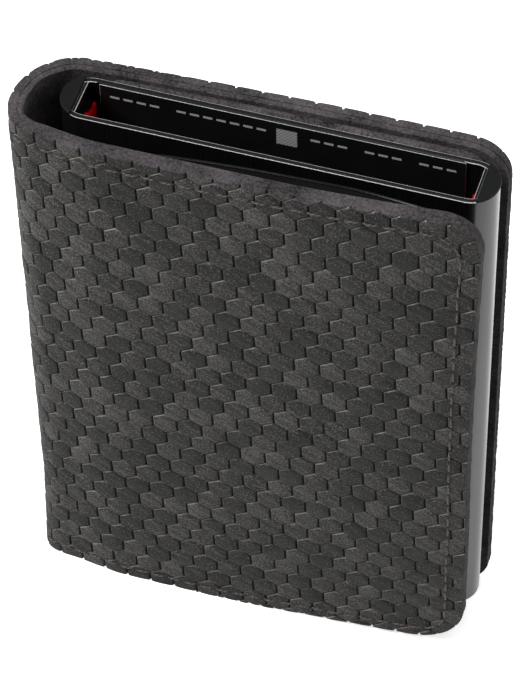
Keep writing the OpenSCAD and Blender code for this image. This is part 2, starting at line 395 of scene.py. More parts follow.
def arc(centre, r, start, stop, side, step):
    """Points on a quarter circle, mirrored left to right when side is -1."""
    count = max(3, int(round(math.radians(abs(stop - start)) * r / step)) + 1)
    a = np.radians(np.linspace(start, stop, count))
    return np.stack([centre[0] + side * r * np.cos(a), centre[1] + r * np.sin(a)], -1)

# %% [markdown]
# ## The outline of a layer
#
# A layer is cut with a knife round a template: straight sides and round corners. The
# outline answers three questions for the mesh: where its border runs, which way is out
# of it, and which points lie inside it.

# %% Outline of a layer
class Outline:
    """A rectangle in strip coordinates with round corners at its free edge.

    The seam side is straight and square, unless r_seam gives it round corners too.
    """

    def __init__(self, s_seam, s_free, z_low, z_high, r_low, r_high, r_seam=0.0):
        self.seam, self.free = s_seam, s_free
        self.low, self.high = z_low, z_high
        self.r_low, self.r_high, self.r_seam = r_low, r_high, r_seam
        self.side = 1.0 if s_free > s_seam else -1.0

    def loop(self, step, inset=0.0):
        """Points round the border: foot, low arc, free edge, high arc, top, seam."""
        side, r = self.side, max(self.r_seam - inset, 0.0)
        seam = self.seam + side * (inset if self.r_seam else 0.0)
        free, low, high = self.free - side * inset, self.low + inset, self.high - inset
        r_low, r_high = self.r_low - inset, self.r_high - inset
        parts = [line((seam + side * r, low), (free - side * r_low, low), step),
                 arc((free - side * r_low, low + r_low), r_low, -90, 0, side, step),
                 line((free, low + r_low), (free, high - r_high), step),
                 arc((free - side * r_high, high - r_high), r_high, 0, 90, side, step),
                 line((free - side * r_high, high), (seam + side * r, high), step)]
        if r:
            parts.append(arc((seam + side * r, high - r), r, 90, 180, side, step))
        parts.append(line((seam, high - r), (seam, low + r), step))
        if r:
            parts.append(arc((seam + side * r, low + r), r, 180, 270, side, step))
        return np.concatenate([p[:-1] for p in parts])

    def outward(self, p):
        """Unit direction out of the border, 0 along a square seam."""
        high_part = p[:, 1] > (self.low + self.high) / 2
        r = np.where(high_part, self.r_high, self.r_low)
        ds = np.clip(self.side * (p[:, 0] - self.free) + r, 0, None) * self.side
        if self.r_seam:
            near = self.side * (p[:, 0] - self.seam) < self.r_seam
            back = np.clip(self.r_seam - self.side * (p[:, 0] - self.seam), 0, None)
            ds, r = np.where(near, -back * self.side, ds), np.where(near, self.r_seam, r)
        dz = np.where(high_part, np.clip(p[:, 1] - self.high + r, 0, None),
                      -np.clip(self.low + r - p[:, 1], 0, None))
        v = np.stack([ds, dz], -1)
        return v / np.maximum(np.linalg.norm(v, axis=1, keepdims=True), 1e-9)

    def holds(self, p, margin=0.0):
        """True for points inside the border by more than margin."""
        inside = self.side * (self.free - p[:, 0]) > margin
        inside &= self.side * (p[:, 0] - self.seam) > (margin if self.r_seam else 0.0)
        inside &= (p[:, 1] > self.low + margin) & (p[:, 1] < self.high - margin)
        for z, r, up in ((self.high, self.r_high, 1), (self.low, self.r_low, -1)):
            ds = self.side * (p[:, 0] - self.free) + r
            dz = up * (p[:, 1] - z) + r
            inside &= ~((ds > 0) & (dz > 0) & (ds ** 2 + dz ** 2 > (r - margin) ** 2))
            ds = self.side * (self.seam - p[:, 0]) + self.r_seam
            dz = up * (p[:, 1] - z) + self.r_seam
            inside &= ~((ds > 0) & (dz > 0)
                        & (ds ** 2 + dz ** 2 > (self.r_seam - margin) ** 2)
                        & (self.r_seam > 0))
        return inside

# %% [markdown]
# ## Triangles along the grooves
#
# A grid would cut across the hexagons and leave their rims jagged. A constrained
# Delaunay triangulation keeps chosen lines as edges, so every groove wall gets its own
# clean edge with few triangles between.

# %% Triangulation
def weld(points, size=1e-6):
    """Merges points that fall in the same small cell; returns them and the new index."""
    cells = np.round(points / size).astype(np.int64)
    _, first, index = np.unique(cells, axis=0, return_index=True, return_inverse=True)
    return points[first], index.ravel()


def triangulate(points, edges, outline, inset):
    """Constrained Delaunay triangles of the points that lie inside the outline."""
    found = delaunay_2d_cdt([Vector(p) for p in points / MM], edges.tolist(), [], 0, 1e-4)
    flat = np.array([v[:] for v in found[0]], float) * MM
    tris = np.array(found[2], int)
    centre = flat[tris].mean(1)
    tris = tris[outline.holds(centre, inset)]
    used, tris = np.unique(tris, return_inverse=True)
    return flat[used], tris.reshape(-1, 3)


def border_edges(tris):
    """Directed edges that belong to one triangle only."""
    edges = np.concatenate([tris[:, [0, 1]], tris[:, [1, 2]], tris[:, [2, 0]]])
    key = np.sort(edges, 1)
    _, index, count = np.unique(key, axis=0, return_inverse=True, return_counts=True)
    return edges[count[index.ravel()] == 1]

# %% [markdown]
# ## Nets of points
#
# The tiled face needs rings of points that follow every tile: one for each step of the
# groove's profile. A plain face needs only a grid, closer together where it bends.

# %% Nets
def ring_net(outline):
    """Points and edges of every tile's rings, for the part of the lattice in use."""
    insets = GROOVE_INSETS[:-1]
    length = math.hypot(TILE / 2, ROW)
    reach = length ** 2 / 2 - insets * GROOVE_WIDTHS[1] * length
    half = TILE / 2 - insets * GROOVE_WIDTHS[0]
    top, side, none = reach / ROW, (reach - half * TILE / 2) / ROW, insets * 0
    corners = np.array([[none, top], [half, side], [half, -side],
                        [none, -top], [-half, -side], [-half, side]]).transpose(2, 0, 1)
    hexagon = np.stack([corners, (corners + np.roll(corners, -1, 1)) / 2], 2)
    hexagon = hexagon.reshape(len(insets), 12, 2)
    s = np.array([outline.seam, outline.free])
    z = np.array([outline.low, outline.high])
    u, v = to_lattice(*(m.ravel() for m in np.meshgrid(s, z)))
    rows = np.arange(math.floor(v.min() / ROW) - 1, math.ceil(v.max() / ROW) + 2)
    columns = np.arange(math.floor(u.min() / TILE) - 1, math.ceil(u.max() / TILE) + 2)
    row, column = (m.ravel() for m in np.meshgrid(rows, columns))
    centres = np.stack([(column + (row % 2) / 2) * TILE, row * ROW], -1)
    net = centres[:, None, None, :] + hexagon[None]
    index = np.arange(net.shape[0] * net.shape[1] * 12).reshape(net.shape[:3])
    edges = np.stack([index, np.roll(index, -1, 2)], -1).reshape(-1, 2)
    points = np.concatenate([net.reshape(-1, 2), centres])
    points = np.stack(from_lattice(points[:, 0], points[:, 1]), -1)
    points, index = weld(points)
    edges = np.unique(np.sort(index[edges], 1), axis=0)
    s_low, s_high = min(s) - TILE, max(s) + TILE
    close = (points[:, 0] > s_low) & (points[:, 0] < s_high)
    close &= (points[:, 1] > outline.low - TILE) & (points[:, 1] < outline.high + TILE)
    renumber = np.cumsum(close) - 1
    edges = renumber[edges[close[edges].all(1)]]
    return points[close], edges[edges[:, 0] != edges[:, 1]]

# %% Plain net
def grid_net(outline, step_s, step_z, bends=()):
    """A plain grid of points inside the outline, closer together in the bends."""
    s = [np.arange(min(outline.seam, outline.free), max(outline.seam, outline.free), step_s)]
    s += [np.linspace(a, b, n) for a, b, n in bends]
    s = np.unique(np.round(np.concatenate(s), 6))
    z = np.arange(outline.low + step_z / 2, outline.high, step_z)
    points = np.stack([m.ravel() for m in np.meshgrid(s, z)], -1)
    return points[outline.holds(points, 0.4 * MM)]

# %% [markdown]
# ## The raw edge
#
# Cut leather shows its thickness: a fibrous wall, slightly rounded where the knife
# pulled it. The face's border is carried down in rows, each moved in or out by ripples
# of two sizes.

# %% Raw edge and back
EDGE_STEP = 0.4 * MM
BACK_STEP = 2.5 * MM
FUZZ_FINE, FUZZ_COARSE = 0.35 * MM, 1.1 * MM
EDGE_MERGE = 1e-5


def edge_rows(base, out, sunk, depths, edge_round, fuzz, round_at):
    """Rows of points down the raw edge, after the face's own border.

    Each row sits up to edge_round further out than the face's border: the share is
    1 - (1 - 3t)^2 over the first third of the thickness, and the same backwards over
    the last third, for the sides named in round_at. sunk is how deep the border lies
    in a groove, which fades out towards the back.
    """
    rows = []
    for d in depths[1:]:
        t = (d - depths[0]) / (depths[-1] - depths[0])
        share = 1 - np.clip(1 - 3 * t, 0, 1) ** 2 if 0 in round_at else 1.0
        share = share * (1 - np.clip(3 * t - 2, 0, 1) ** 2 if 1 in round_at else 1.0)
        rough = fuzz * ripple(base[:, 0] + d, base[:, 1] - d * 2, FUZZ_FINE, 3.0)
        rough = rough + fuzz * ripple(base[:, 0] - d, base[:, 1] + d, FUZZ_COARSE, 8.0)
        at = base + out * ((edge_round + rough) * share)[:, None]
        rows.append(np.concatenate([at, (d + sunk * (1 - t))[:, None]], 1))
    return rows

# %% Back and tile values
def back_mesh(last, inner, rim_edges):
    """Triangles of the back: the points are its border row, then those inside it."""
    points = np.concatenate([last, inner]) / MM
    found = delaunay_2d_cdt([Vector(p) for p in points], rim_edges.tolist(), [], 1,
                            EDGE_MERGE)
    source = np.array([ids[0] for ids in found[3]])
    return source[np.array(found[2], int)]


def tile_attributes(piece, strip, face_count, middles):
    """Writes each point's border, painted-shade and painted-highlight values, and each tile's
    tone.
    """
    *_, border, side = tile_at(strip[:, 0], strip[:, 1])
    on_face = np.arange(len(strip)) < face_count
    write_attribute(piece, "border", np.where(on_face, border / MM, 1.0))
    write_attribute(piece, "shade",
                    np.where(on_face, border / MM / SHADE_WIDTHS[side], 1.0))
    write_attribute(piece, "pale", RIM_PAINTED_HIGHLIGHT[side])
    column, row, *_ = tile_at(middles[:, 0], middles[:, 1])
    tone = np.full(len(piece.data.polygons), 0.5)
    tone[:len(middles)] = chance(column, row, 4)
    write_attribute(piece, "tone", tone, "FACE")


# %% The layer itself
def layer(name, place, outline, depths, net, height=None, edge_round=0.12 * MM,
          fuzz=0.05 * MM, bends=(), round_at=(0, 1)):
    """Makes a closed layer of leather: a face, a raw edge and a back.

    place(s, z, d) puts strip coordinates in space. depths are the rows through the
    thickness, the face first. net is (points, edges) of the face's mesh.
    """
    loop = outline.loop(EDGE_STEP, edge_round)
    around = np.arange(len(loop))
    loop_edges = np.stack([around, np.roll(around, -1)], -1) + len(net[0])
    edges = np.concatenate([net[1].reshape(-1, 2), loop_edges]).astype(int)
    points = np.concatenate([net[0], loop])
    flat, tris = triangulate(points, edges, outline, edge_round * 0.98)
    lift = height(flat[:, 0], flat[:, 1]) if height else np.zeros(len(flat))
    face = np.concatenate([flat, (depths[0] - lift)[:, None]], 1)
    on_rim, rim_edges = np.unique(border_edges(tris), return_inverse=True)
    rim_edges = rim_edges.reshape(-1, 2)
    base = flat[on_rim]
    rows = edge_rows(base, outline.outward(base), face[on_rim, 2] - depths[0], depths,
                     edge_round, fuzz, round_at)
    row_ids = [on_rim]
    for row in range(len(rows)):
        row_ids.append(len(face) + row * len(base) + np.arange(len(base)))
    a, b = rim_edges.T
    quads = np.concatenate([np.stack([near[b], near[a], far[a], far[b]], -1)
                            for near, far in zip(row_ids[:-1], row_ids[1:])])
    inner = grid_net(outline, BACK_STEP, BACK_STEP, bends)
    back_id = np.concatenate([row_ids[-1], row_ids[-1][-1] + 1 + np.arange(len(inner))])
    back_tris = back_id[back_mesh(rows[-1][:, :2], inner, rim_edges)[:, ::-1]]
    back = np.concatenate([inner, np.full((len(inner), 1), depths[-1])], 1)
    strip = np.concatenate([face] + rows + [back])
    faces = [*tris, *quads, *back_tris]
    kinds = np.arange(len(faces)) >= len(tris)
    piece = new_piece(name, place(*strip.T), faces, 35, kinds)
    write_attribute(piece, "strip", strip)
    if height:
        tile_attributes(piece, strip, len(face), flat[tris].mean(1))
    print(name, len(faces), "faces")
    return piece


# %% [markdown]
# ## The hide
#
# The hide is cut in two pieces at the middle of the spine, because each half bends at
# one fold. Both halves come from the same functions, so the seam between them closes.
# One piece with three bodies would be harder to bend, for no gain in its look.

# %% Outer hide
Z_TOP = HEIGHT - 0.4 * MM
CORNER = 6 * MM
CORNER_LOW = 8 * MM
HIDE_ROWS = np.array([0, 0.1, 0.25, 0.45, 0.7, 1.05, 1.4]) * MM
BENDS = ((LEN_REAR - 2 * MM, S_SPINE + 1 * MM, 16), (S_BEND - 1 * MM, S_FLAP + 2 * MM, 14))

REAR_INSET, FLAP_INSET = 0.35 * MM, 0.2 * MM
rear_cut = Outline(S_MID, REAR_INSET, 0.0, Z_TOP, CORNER, CORNER)
flap_cut = Outline(S_MID, S_END - FLAP_INSET, 0.0, Z_TOP, CORNER_LOW, CORNER)
hide_rear = layer("hide_rear", cover_point, rear_cut, HIDE_ROWS, ring_net(rear_cut),
                  relief, bends=BENDS, round_at=(0,))
hide_flap = layer("hide_flap", cover_point, flap_cut, HIDE_ROWS, ring_net(flap_cut),
                  relief, bends=BENDS, round_at=(0,))

# %% [markdown]
# ## The lining
#
# The inside of the cover is suede, glued to the hide. It could be the hide's back face
# with another colour, but its raw edge shows as a second layer, so it is a layer of its
# own that follows the same outline.

# %% Lining
LINING_ROWS = HIDE + np.array([0.01, 0.25, 0.5, 0.75, 0.9, 1.0]) * MM


def plain_net(outline, step):
    """A grid of points with no edges, for a face without tiles."""
    return grid_net(outline, step, step, BENDS), np.zeros((0, 2), int)


suede_rear = layer("suede_rear", cover_point, rear_cut, LINING_ROWS,
                   plain_net(rear_cut, 1.5 * MM), bends=BENDS, round_at=(1,))
suede_flap = layer("suede_flap", cover_point, flap_cut, LINING_ROWS,
                   plain_net(flap_cut, 1.5 * MM), bends=BENDS, round_at=(1,))

# %% [markdown]
# ## Pockets
#
# Behind the tube lies a second layer of embossed leather, face towards the tube, and
# inside the flap two thin layers make a card pocket. They are flat layers, so they
# need only a simple placing. The flap's pockets follow the flap's own lean.

# %% Rear pocket
pocket_low, pocket_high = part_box("rear_pocket")


def rear_pocket_point(s, z, d):
    """Straight across in x; depth runs from the tube side towards the rear."""
    x = s - S_FLAP + X_SPINE + BEND_FLAP
    return np.stack(np.broadcast_arrays(x, pocket_low.y + d, z), -1)


def strip_of_x(x):
    """The strip coordinate of a place on the flap, so that both share one lattice."""
    return S_FLAP + x - X_SPINE - BEND_FLAP


pocket_cut = Outline(strip_of_x(pocket_low.x), strip_of_x(pocket_high.x),
                     pocket_low.z, pocket_high.z - 0.6 * MM, 3 * MM, 3 * MM, 3 * MM)
POCKET_ROWS = np.array([0.05, 0.45, 0.75, 1.0, 1.25, 1.5]) * MM
rear_inner = layer("rear_inner_pocket", rear_pocket_point, pocket_cut, POCKET_ROWS,
                   ring_net(pocket_cut), relief)

# %% [markdown]
# ## The flap's card pocket
#
# Two thin layers lie inside the flap. The front one has a painted edge and bows away
# where a card slides in, so its mouth is a half sine that fades towards the foot.

# %% Flap pockets
back_low, back_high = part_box("flap_pocket_back")
front_low, front_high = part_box("flap_pocket_front")
POCKET_BULGE = 1.5 * MM
POCKET_SINK = 1.3 * MM
POCKET_CORNER = 2.5 * MM


def flap_layer_point(low, bulge):
    """Placing for a layer whose outer side lies at low.y, leaning with the flap.

    Its mouth bows away from the flap by bulge x a half sine along s, times a ramp up z.
    """
    def place(s, z, d):
        along = (s - front_cut.seam) / (front_cut.free - front_cut.seam)
        bow = bulge * np.sin(np.clip(along, 0, 1) * math.pi) * smooth(z / HEIGHT)
        sink = POCKET_SINK * smooth(along * 2.5 - 1.5) * smooth(z / HEIGHT)
        return cover_point(s, z - sink, low.y - Y_FLAP + d + bow)
    return place


def pocket_outline(low, high):
    """The pocket's border in strip coordinates."""
    return Outline(strip_of_x(low.x), strip_of_x(high.x), low.z, high.z,
                   POCKET_CORNER, POCKET_CORNER, POCKET_CORNER)


POCKET_BACK_ROWS = np.array([0.03, 0.2, 0.4, 0.62]) * MM
POCKET_FRONT_ROWS = np.array([0.03, 0.12, 0.3, 0.48, 0.64]) * MM
back_cut = pocket_outline(back_low, back_high)
front_cut = pocket_outline(front_low, front_high)
pocket_back = layer("flap_pocket_lining", flap_layer_point(back_low, 0), back_cut,
                    POCKET_BACK_ROWS, plain_net(back_cut, 2 * MM), fuzz=0.03 * MM)
pocket_front = layer("flap_pocket_face", flap_layer_point(front_low, POCKET_BULGE),
                     front_cut, POCKET_FRONT_ROWS, plain_net(front_cut, 2 * MM),
                     edge_round=0.18 * MM, fuzz=0.004 * MM)

# %% [markdown]
# ## Stitches
#
# The thread comes up through one hole and goes down through the next, so every stitch
# is a short bowed tube that ends under the surface. A stitch's centre line is a
# parabola over its length, and its section is a circle, a little flattened.

# %% Seam route
STITCH = 2.65 * MM
ROUTE_STEP = 0.2 * MM
THREAD_R = 0.19 * MM
HOLE_R = 0.26 * MM
SEAM_IN = 2.75 * MM
SEAM_LOW_IN = 2.2 * MM
SEAM_R = 4 * MM
STITCH_RINGS = 7
STITCH_SIDES = 6
HOLE_SIDES = 8


def seam_route(cut, s_start):
    """Stitch ends along the seam: in along the foot, up the free edge, back at the top."""
    side = cut.side
    free = cut.free - side * SEAM_IN
    low, high = cut.low + SEAM_LOW_IN, cut.high - SEAM_IN
    parts = [line((s_start, low), (free - side * SEAM_R, low), ROUTE_STEP),
             arc((free - side * SEAM_R, low + SEAM_R), SEAM_R, -90, 0, side, ROUTE_STEP),
             line((free, low + SEAM_R), (free, high - SEAM_R), ROUTE_STEP),
             arc((free - side * SEAM_R, high - SEAM_R), SEAM_R, 0, 90, side, ROUTE_STEP),
             line((free - side * SEAM_R, high), (s_start, high), ROUTE_STEP)]
    path = np.concatenate([parts[0]] + [p[1:] for p in parts[1:]])
    gone = np.concatenate([[0], np.cumsum(np.linalg.norm(np.diff(path, axis=0), axis=1))])
    ends = np.linspace(0, gone[-1], int(round(gone[-1] / STITCH)) + 1)
    return np.stack([np.interp(ends, gone, path[:, 0]), np.interp(ends, gone, path[:, 1])], -1)


flap_seam = seam_route(flap_cut, S_FLAP - 4.5 * MM)
rear_seam = seam_route(rear_cut, LEN_REAR - 1.0 * MM)
print("needle holes", len(flap_seam), "and", len(rear_seam))

# %% [markdown]
# ## Needle holes
#
# Between two stitches the needle leaves a small pit that lies in shade. A real hole would
# have to be cut out of the hide's mesh, so each is a tiny closed lens instead, painted
# near black all through as painted shade, that sits level with the leather round it.

# %% Needle holes
def hole_points(ends):
    """For each needle hole, a ring on the hide's face, a point over it and one under."""
    a = np.linspace(0, 2 * math.pi, HOLE_SIDES, endpoint=False)
    ring = ends[:, None] + HOLE_R * np.stack([np.cos(a), np.sin(a)], -1)[None]
    flat = np.concatenate([ring, ends[:, None], ends[:, None]], 1).reshape(-1, 2)
    depth = -relief(flat[:, 0], flat[:, 1]).reshape(len(ends), -1)
    depth = np.broadcast_to(depth.min(1, keepdims=True), depth.shape) + 0.0
    depth[:, -2] -= 0.05 * MM
    depth[:, -1] += 0.2 * MM
    return flat[:, 0], flat[:, 1], depth.ravel()


def hole_faces(count, first):
    """Two fans of triangles for each needle hole, which close it above and below."""
    near = np.arange(HOLE_SIDES)
    far = np.roll(near, -1)
    top, bottom = np.full(HOLE_SIDES, HOLE_SIDES), np.full(HOLE_SIDES, HOLE_SIDES + 1)
    fan = np.concatenate([np.stack([near, far, top], -1), np.stack([far, near, bottom], -1)])
    start = first + np.arange(count) * (HOLE_SIDES + 2)
    return (fan[None] + start[:, None, None]).reshape(-1, 3)


print("a hole is", 2 * HOLE_R / MM, "mm wide")

# %% [markdown]
# ## The thread
#
# A stitch could be a curve with a bevel, but a hundred curves are slow and their ends
# stay open. Here all the stitches of a seam are worked out together as one array of
# closed tubes, each with its own small slip and slack so that the row looks hand fed.

# %% Stitches
SLIP, SLIP_SEED = 0.12 * MM, 7
SLACK_LOW, SLACK_RANGE, SLACK_SEED = 0.8, 0.4, 9
START_DEPTH, RISE = -0.30 * MM, 0.31 * MM
STITCH_START, STITCH_SHARE = 0.02, 0.96
TIP_SHARE, FLATTEN = 0.35, 0.85


def tube_faces():
    """Faces of one stitch: quads between its rings, and a fan at each tip."""
    ring = np.arange(STITCH_RINGS * STITCH_SIDES).reshape(STITCH_RINGS, STITCH_SIDES)
    turned = np.roll(ring, -1, 1)
    quads = np.stack([ring[:-1], turned[:-1], turned[1:], ring[1:]], -1).reshape(-1, 4)
    first, last = np.full(STITCH_SIDES, ring.size), np.full(STITCH_SIDES, ring.size + 1)
    start = np.stack([turned[0], ring[0], first], -1)
    end = np.stack([ring[-1], turned[-1], last], -1)
    return quads, np.concatenate([start, end])


def twist_values(count, t, angle):
    """Along the stitch, round it, and the stitch's number, for each point of a tube."""
    along = np.broadcast_to(t[None, :, None], (count, STITCH_RINGS, STITCH_SIDES))
    turn = np.broadcast_to(angle[None, None] / (2 * math.pi), along.shape)
    index = np.broadcast_to(np.arange(count)[:, None, None], along.shape)
    twist = np.stack([along + index, turn, index * 1.0], -1).reshape(count, -1, 3)
    tips = np.stack([np.arange(count), np.zeros(count), np.arange(count)], -1)
    return np.concatenate([twist, np.stack([tips, tips + [1, 0, 0]], 1)], 1).reshape(-1, 3)

# %% Stitches of one seam
def stitches(name, ends, place):
    """One closed tube for each pair of neighbouring holes.

    Along a stitch, t runs 0 to 1. The thread's height over the hide is a parabola
    4 t (1 - t), its radius swells in the middle, and its two ends close to a point.
    """
    count = len(ends) - 1
    t = np.linspace(0, 1, STITCH_RINGS)
    a, b = ends[:-1, None, :], ends[1:, None, :]
    slip = (chance(np.arange(count), 3.0, SLIP_SEED) - 0.5)[:, None] * SLIP
    centre = a + (b - a) * (STITCH_START + STITCH_SHARE * t)[None, :, None]
    run = (b - a) / np.linalg.norm(b - a, axis=2, keepdims=True)
    across = np.stack([-run[..., 1], run[..., 0]], -1)
    centre = centre + across * (slip * (4 * t * (1 - t))[None])[..., None]
    rise = (4 * t * (1 - t)) ** 0.6
    radius = THREAD_R * (TIP_SHARE + (1 - TIP_SHARE) * np.sqrt(np.clip(rise, 0, 1)))
    loose = (SLACK_LOW + SLACK_RANGE * chance(np.arange(count), 5.0, SLACK_SEED))[:, None]
    height = START_DEPTH + RISE * rise[None] * loose
    angle = np.linspace(0, 2 * math.pi, STITCH_SIDES, endpoint=False)
    side = radius[None, :, None] * np.cos(angle)[None, None]
    up = radius[None, :, None] * np.sin(angle)[None, None] * FLATTEN
    flat = centre[:, :, None, :] + across[:, :, None, :] * side[..., None]
    depth = -(height[:, :, None] + up)
    tube = place(flat[..., 0], flat[..., 1], depth).reshape(count, -1, 3)
    caps = place(centre[:, [0, -1], 0], centre[:, [0, -1], 1], -height[:, [0, -1]])
    points = np.concatenate([tube, caps], 1)
    quads, tips = tube_faces()
    offset = (np.arange(count) * points.shape[1])[:, None, None]
    faces = [*(quads[None] + offset).reshape(-1, 4), *(tips[None] + offset).reshape(-1, 3),
             *hole_faces(len(ends), points.shape[0] * points.shape[1])]
    kinds = np.zeros(len(faces))
    kinds[-len(ends) * HOLE_SIDES * 2:] = 1
    holes = place(*hole_points(ends))
    piece = new_piece(name, np.concatenate([points.reshape(-1, 3), holes]), faces, 80, kinds)
    twist = twist_values(count, t, angle)
    write_attribute(piece, "twist", np.concatenate([twist, np.zeros((len(holes), 3))]))
    print(name, count, "stitches")
    return piece


flap_stitches = stitches("flap_stitches", flap_seam, cover_point)
rear_stitches = stitches("rear_stitches", rear_seam, cover_point)

# %% [markdown]
# ## The anodised tube
#
# The tube is an extrusion of stadium section. The small chamfers round the rim catch the
# key light, and along the card channel they also carry a pale metal colour, a painted
# highlight. The tube is lofted: a list of rows, each an inset from the outside and a
# height, is carried round the stadium.
# Two flat webs inside part the card channel from the round ends.

# %% Tube
WALL = 0.8 * MM
WEB = 0.5 * MM
CHANNEL = 57.2 * MM
WEB_SINK = 0.02 * MM
WEB_CUT = 0.09 * MM
BRIGHT_PAST = 1.2 * MM
RIM_CUT = 0.08 * MM
RIM_DROP = 0.03 * MM
HEEL_X = 17 * MM
HEEL_Z = 7.4 * MM
STEP_AT_HEEL = 1e-6
TUBE_X = (tube_low.x + tube_high.x) / 2
TUBE_Y = (tube_low.y + tube_high.y) / 2
TUBE_R = (tube_high.y - tube_low.y) / 2
TUBE_FLAT = (tube_high.x - tube_low.x) / 2 - TUBE_R
RIM_Z = tube_high.z
ARC_POINTS, FLAT_POINTS = 40, 60


def stadium(inset):
    """Points round a stadium that lies inset inside the tube."""
    a = np.linspace(-math.pi / 2, math.pi / 2, ARC_POINTS)
    r = TUBE_R - inset
    right = np.stack([TUBE_FLAT + r * np.cos(a), r * np.sin(a)], -1)
    left = -right
    along = np.linspace(TUBE_FLAT, -TUBE_FLAT, FLAT_POINTS)[1:-1]
    heel = HEEL_X - TUBE_X
    along = np.sort(np.concatenate([along, [heel - STEP_AT_HEEL, heel + STEP_AT_HEEL]]))[::-1]
    back = np.stack([along, np.full(len(along), r)], -1)
    loop = np.concatenate([right, back, left, -back])
    return loop + [TUBE_X, TUBE_Y]


def loft(rows, close=False):
    """Faces between rows of equal length that each go once round."""
    count, size = len(rows), len(rows[0])
    index = np.arange(count * size).reshape(count, size)
    upper = np.roll(index, -1, 0) if close else index[1:]
    lower = index if close else index[:-1]
    near, far = np.roll(lower, -1, 1), np.roll(upper, -1, 1)
    return np.stack([lower, near, far, upper], -1).reshape(-1, 4)


# %% A web between the walls
def box_with_rim(low, high, cut):
    """A plate with a chamfered top: three rows of four corners, closed at both ends."""
    rows = [(0, low[2]), (0, high[2] - cut), (cut, high[2])]
    points = []
    for inset, z in rows:
        x0, x1, y0, y1 = low[0] + inset, high[0] - inset, low[1], high[1]
        points += [(x0, y0, z), (x1, y0, z), (x1, y1, z), (x0, y1, z)]
    faces = [*loft(np.zeros((3, 4))), (3, 2, 1, 0), (8, 9, 10, 11)]
    # The web's chamfer takes the pale rim finish: a painted highlight.
    kinds = [0] * 4 + [1] * 4 + [0, 0]
    return np.array(points), faces, kinds


# %% Tube and webs
def make_tube():
    """Outer wall, chamfer, rim, chamfer and inner wall, closed under the foot."""
    rows = [(0, None), (0, RIM_Z - RIM_DROP), (RIM_CUT, RIM_Z), (WALL - RIM_CUT, RIM_Z),
            (WALL, RIM_Z - RIM_DROP), (WALL, None)]
    heights = []
    for inset, z in rows:
        loop = stadium(inset)
        foot = np.where(loop[:, 0] > HEEL_X, HEEL_Z, tube_low.z)
        heights.append(np.column_stack([loop, foot if z is None else np.full(len(loop), z)]))
    points = np.concatenate(heights)
    faces = [*loft(heights, close=True)]
    straight = np.abs(heights[0][:, 0] - TUBE_X) < CHANNEL / 2 + BRIGHT_PAST
    straight &= np.roll(straight, -1)
    plate_low, plate_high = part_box("inner_plate")
    x, y = heights[0][:, 0], heights[0][:, 1]
    covered = (y > TUBE_Y) & (x > plate_low.x) & (x < plate_high.x)
    # Chamfers along the channel take the pale rim finish: a painted highlight.
    bright = {1: straight, 3: straight & ~covered}
    kinds = list(np.concatenate([bright.get(k, straight * 0) for k in range(6)]).astype(int))
    for side in (-1, 1):
        inner = TUBE_X + side * CHANNEL / 2
        low = [min(inner, inner + side * WEB), TUBE_Y - TUBE_R + WALL - WEB_SINK,
               HEEL_Z if side > 0 else tube_low.z]
        high = [max(inner, inner + side * WEB), TUBE_Y + TUBE_R - WALL + WEB_SINK,
                RIM_Z - WEB_SINK]
        web_points, web_faces, web_kinds = box_with_rim(low, high, WEB_CUT)
        faces += [tuple(np.array(f) + len(points)) for f in web_faces]
        points = np.concatenate([points, web_points])
        kinds += web_kinds
    return new_piece("tube_shell", points, faces, 25, kinds)


tube = make_tube()
print("tube", len(tube.data.polygons), "faces")

# %% [markdown]
# ## Mouth plugs
#
# A moulded plug closes each round end of the tube. Its flange laps the rim and has a
# soft edge, which is what catches the light, so the edge is made of real rows.

# %% Mouth plugs
PLUG_GAP, PLUG_LAP, PLUG_LIFT = 0.03 * MM, 0.1 * MM, 0.01 * MM
PLUG_BEVEL, PLUG_THICK, PLUG_EASE = 0.2 * MM, 0.42 * MM, 0.3


def make_plug(node, side):
    """A D shape that fills the tube's round end, with a thin flange over the rim.

    The D's border is an arc cut by the web. Every row keeps the arc's points and gives
    them a radius and a height: the stem first, then the flange's foot, then a quarter
    circle to its top face.
    """
    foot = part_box(node)[0].z
    stem = TUBE_R - WALL - PLUG_GAP
    flange = TUBE_R + PLUG_LAP
    web = CHANNEL / 2 + WEB + WEB_SINK
    turn = np.radians(np.linspace(0, 90, 6))
    rows = [(stem, foot, 0), (stem, RIM_Z + PLUG_LIFT, 0), (flange, RIM_Z + PLUG_LIFT, 0)]
    rows += [(flange - PLUG_BEVEL * (1 - math.cos(k)),
              RIM_Z + PLUG_THICK - PLUG_BEVEL * (1 - math.sin(k)),
              PLUG_EASE * PLUG_BEVEL * (1 - math.cos(k)))
             for k in turn]
    points = []
    for r, z, back in rows:
        reach = math.acos((web + back - TUBE_FLAT) / r)
        a = np.linspace(-reach, reach, 48)
        arc_side = np.stack([TUBE_FLAT + r * np.cos(a), r * np.sin(a)], -1)
        rise = np.linspace(arc_side[-1, 1], arc_side[0, 1], 14)[1:-1]
        flat_side = np.stack([np.full(12, web + back), rise], -1)
        ring = np.concatenate([arc_side, flat_side])
        points.append(np.column_stack([TUBE_X + side * ring[:, 0], TUBE_Y + ring[:, 1],
                                       np.full(len(ring), z)]))
    size = len(points[0])
    faces = [*loft(points), tuple(range(size))[::-1],
             tuple(range(size * (len(points) - 1), size * len(points)))]
    if side < 0:
        faces = [tuple(f)[::-1] for f in faces]
    return new_piece(node + "_moulding", np.concatenate(points), faces, 50)


plug_left = make_plug("mouth_plug_left", -1)
plug_right = make_plug("mouth_plug_right", 1)
print("plugs", len(plug_left.data.polygons), "faces each")

# %% [markdown]
# ## The inner plate
#
# A thin printed sheet covers the rear wall inside the mouth. It is a flat plate with a
# tiny chamfer in the pale rim finish, a painted highlight that draws its cut edge as a
# fine line.

# %% Inner plate
PLATE_CUT = 0.05 * MM


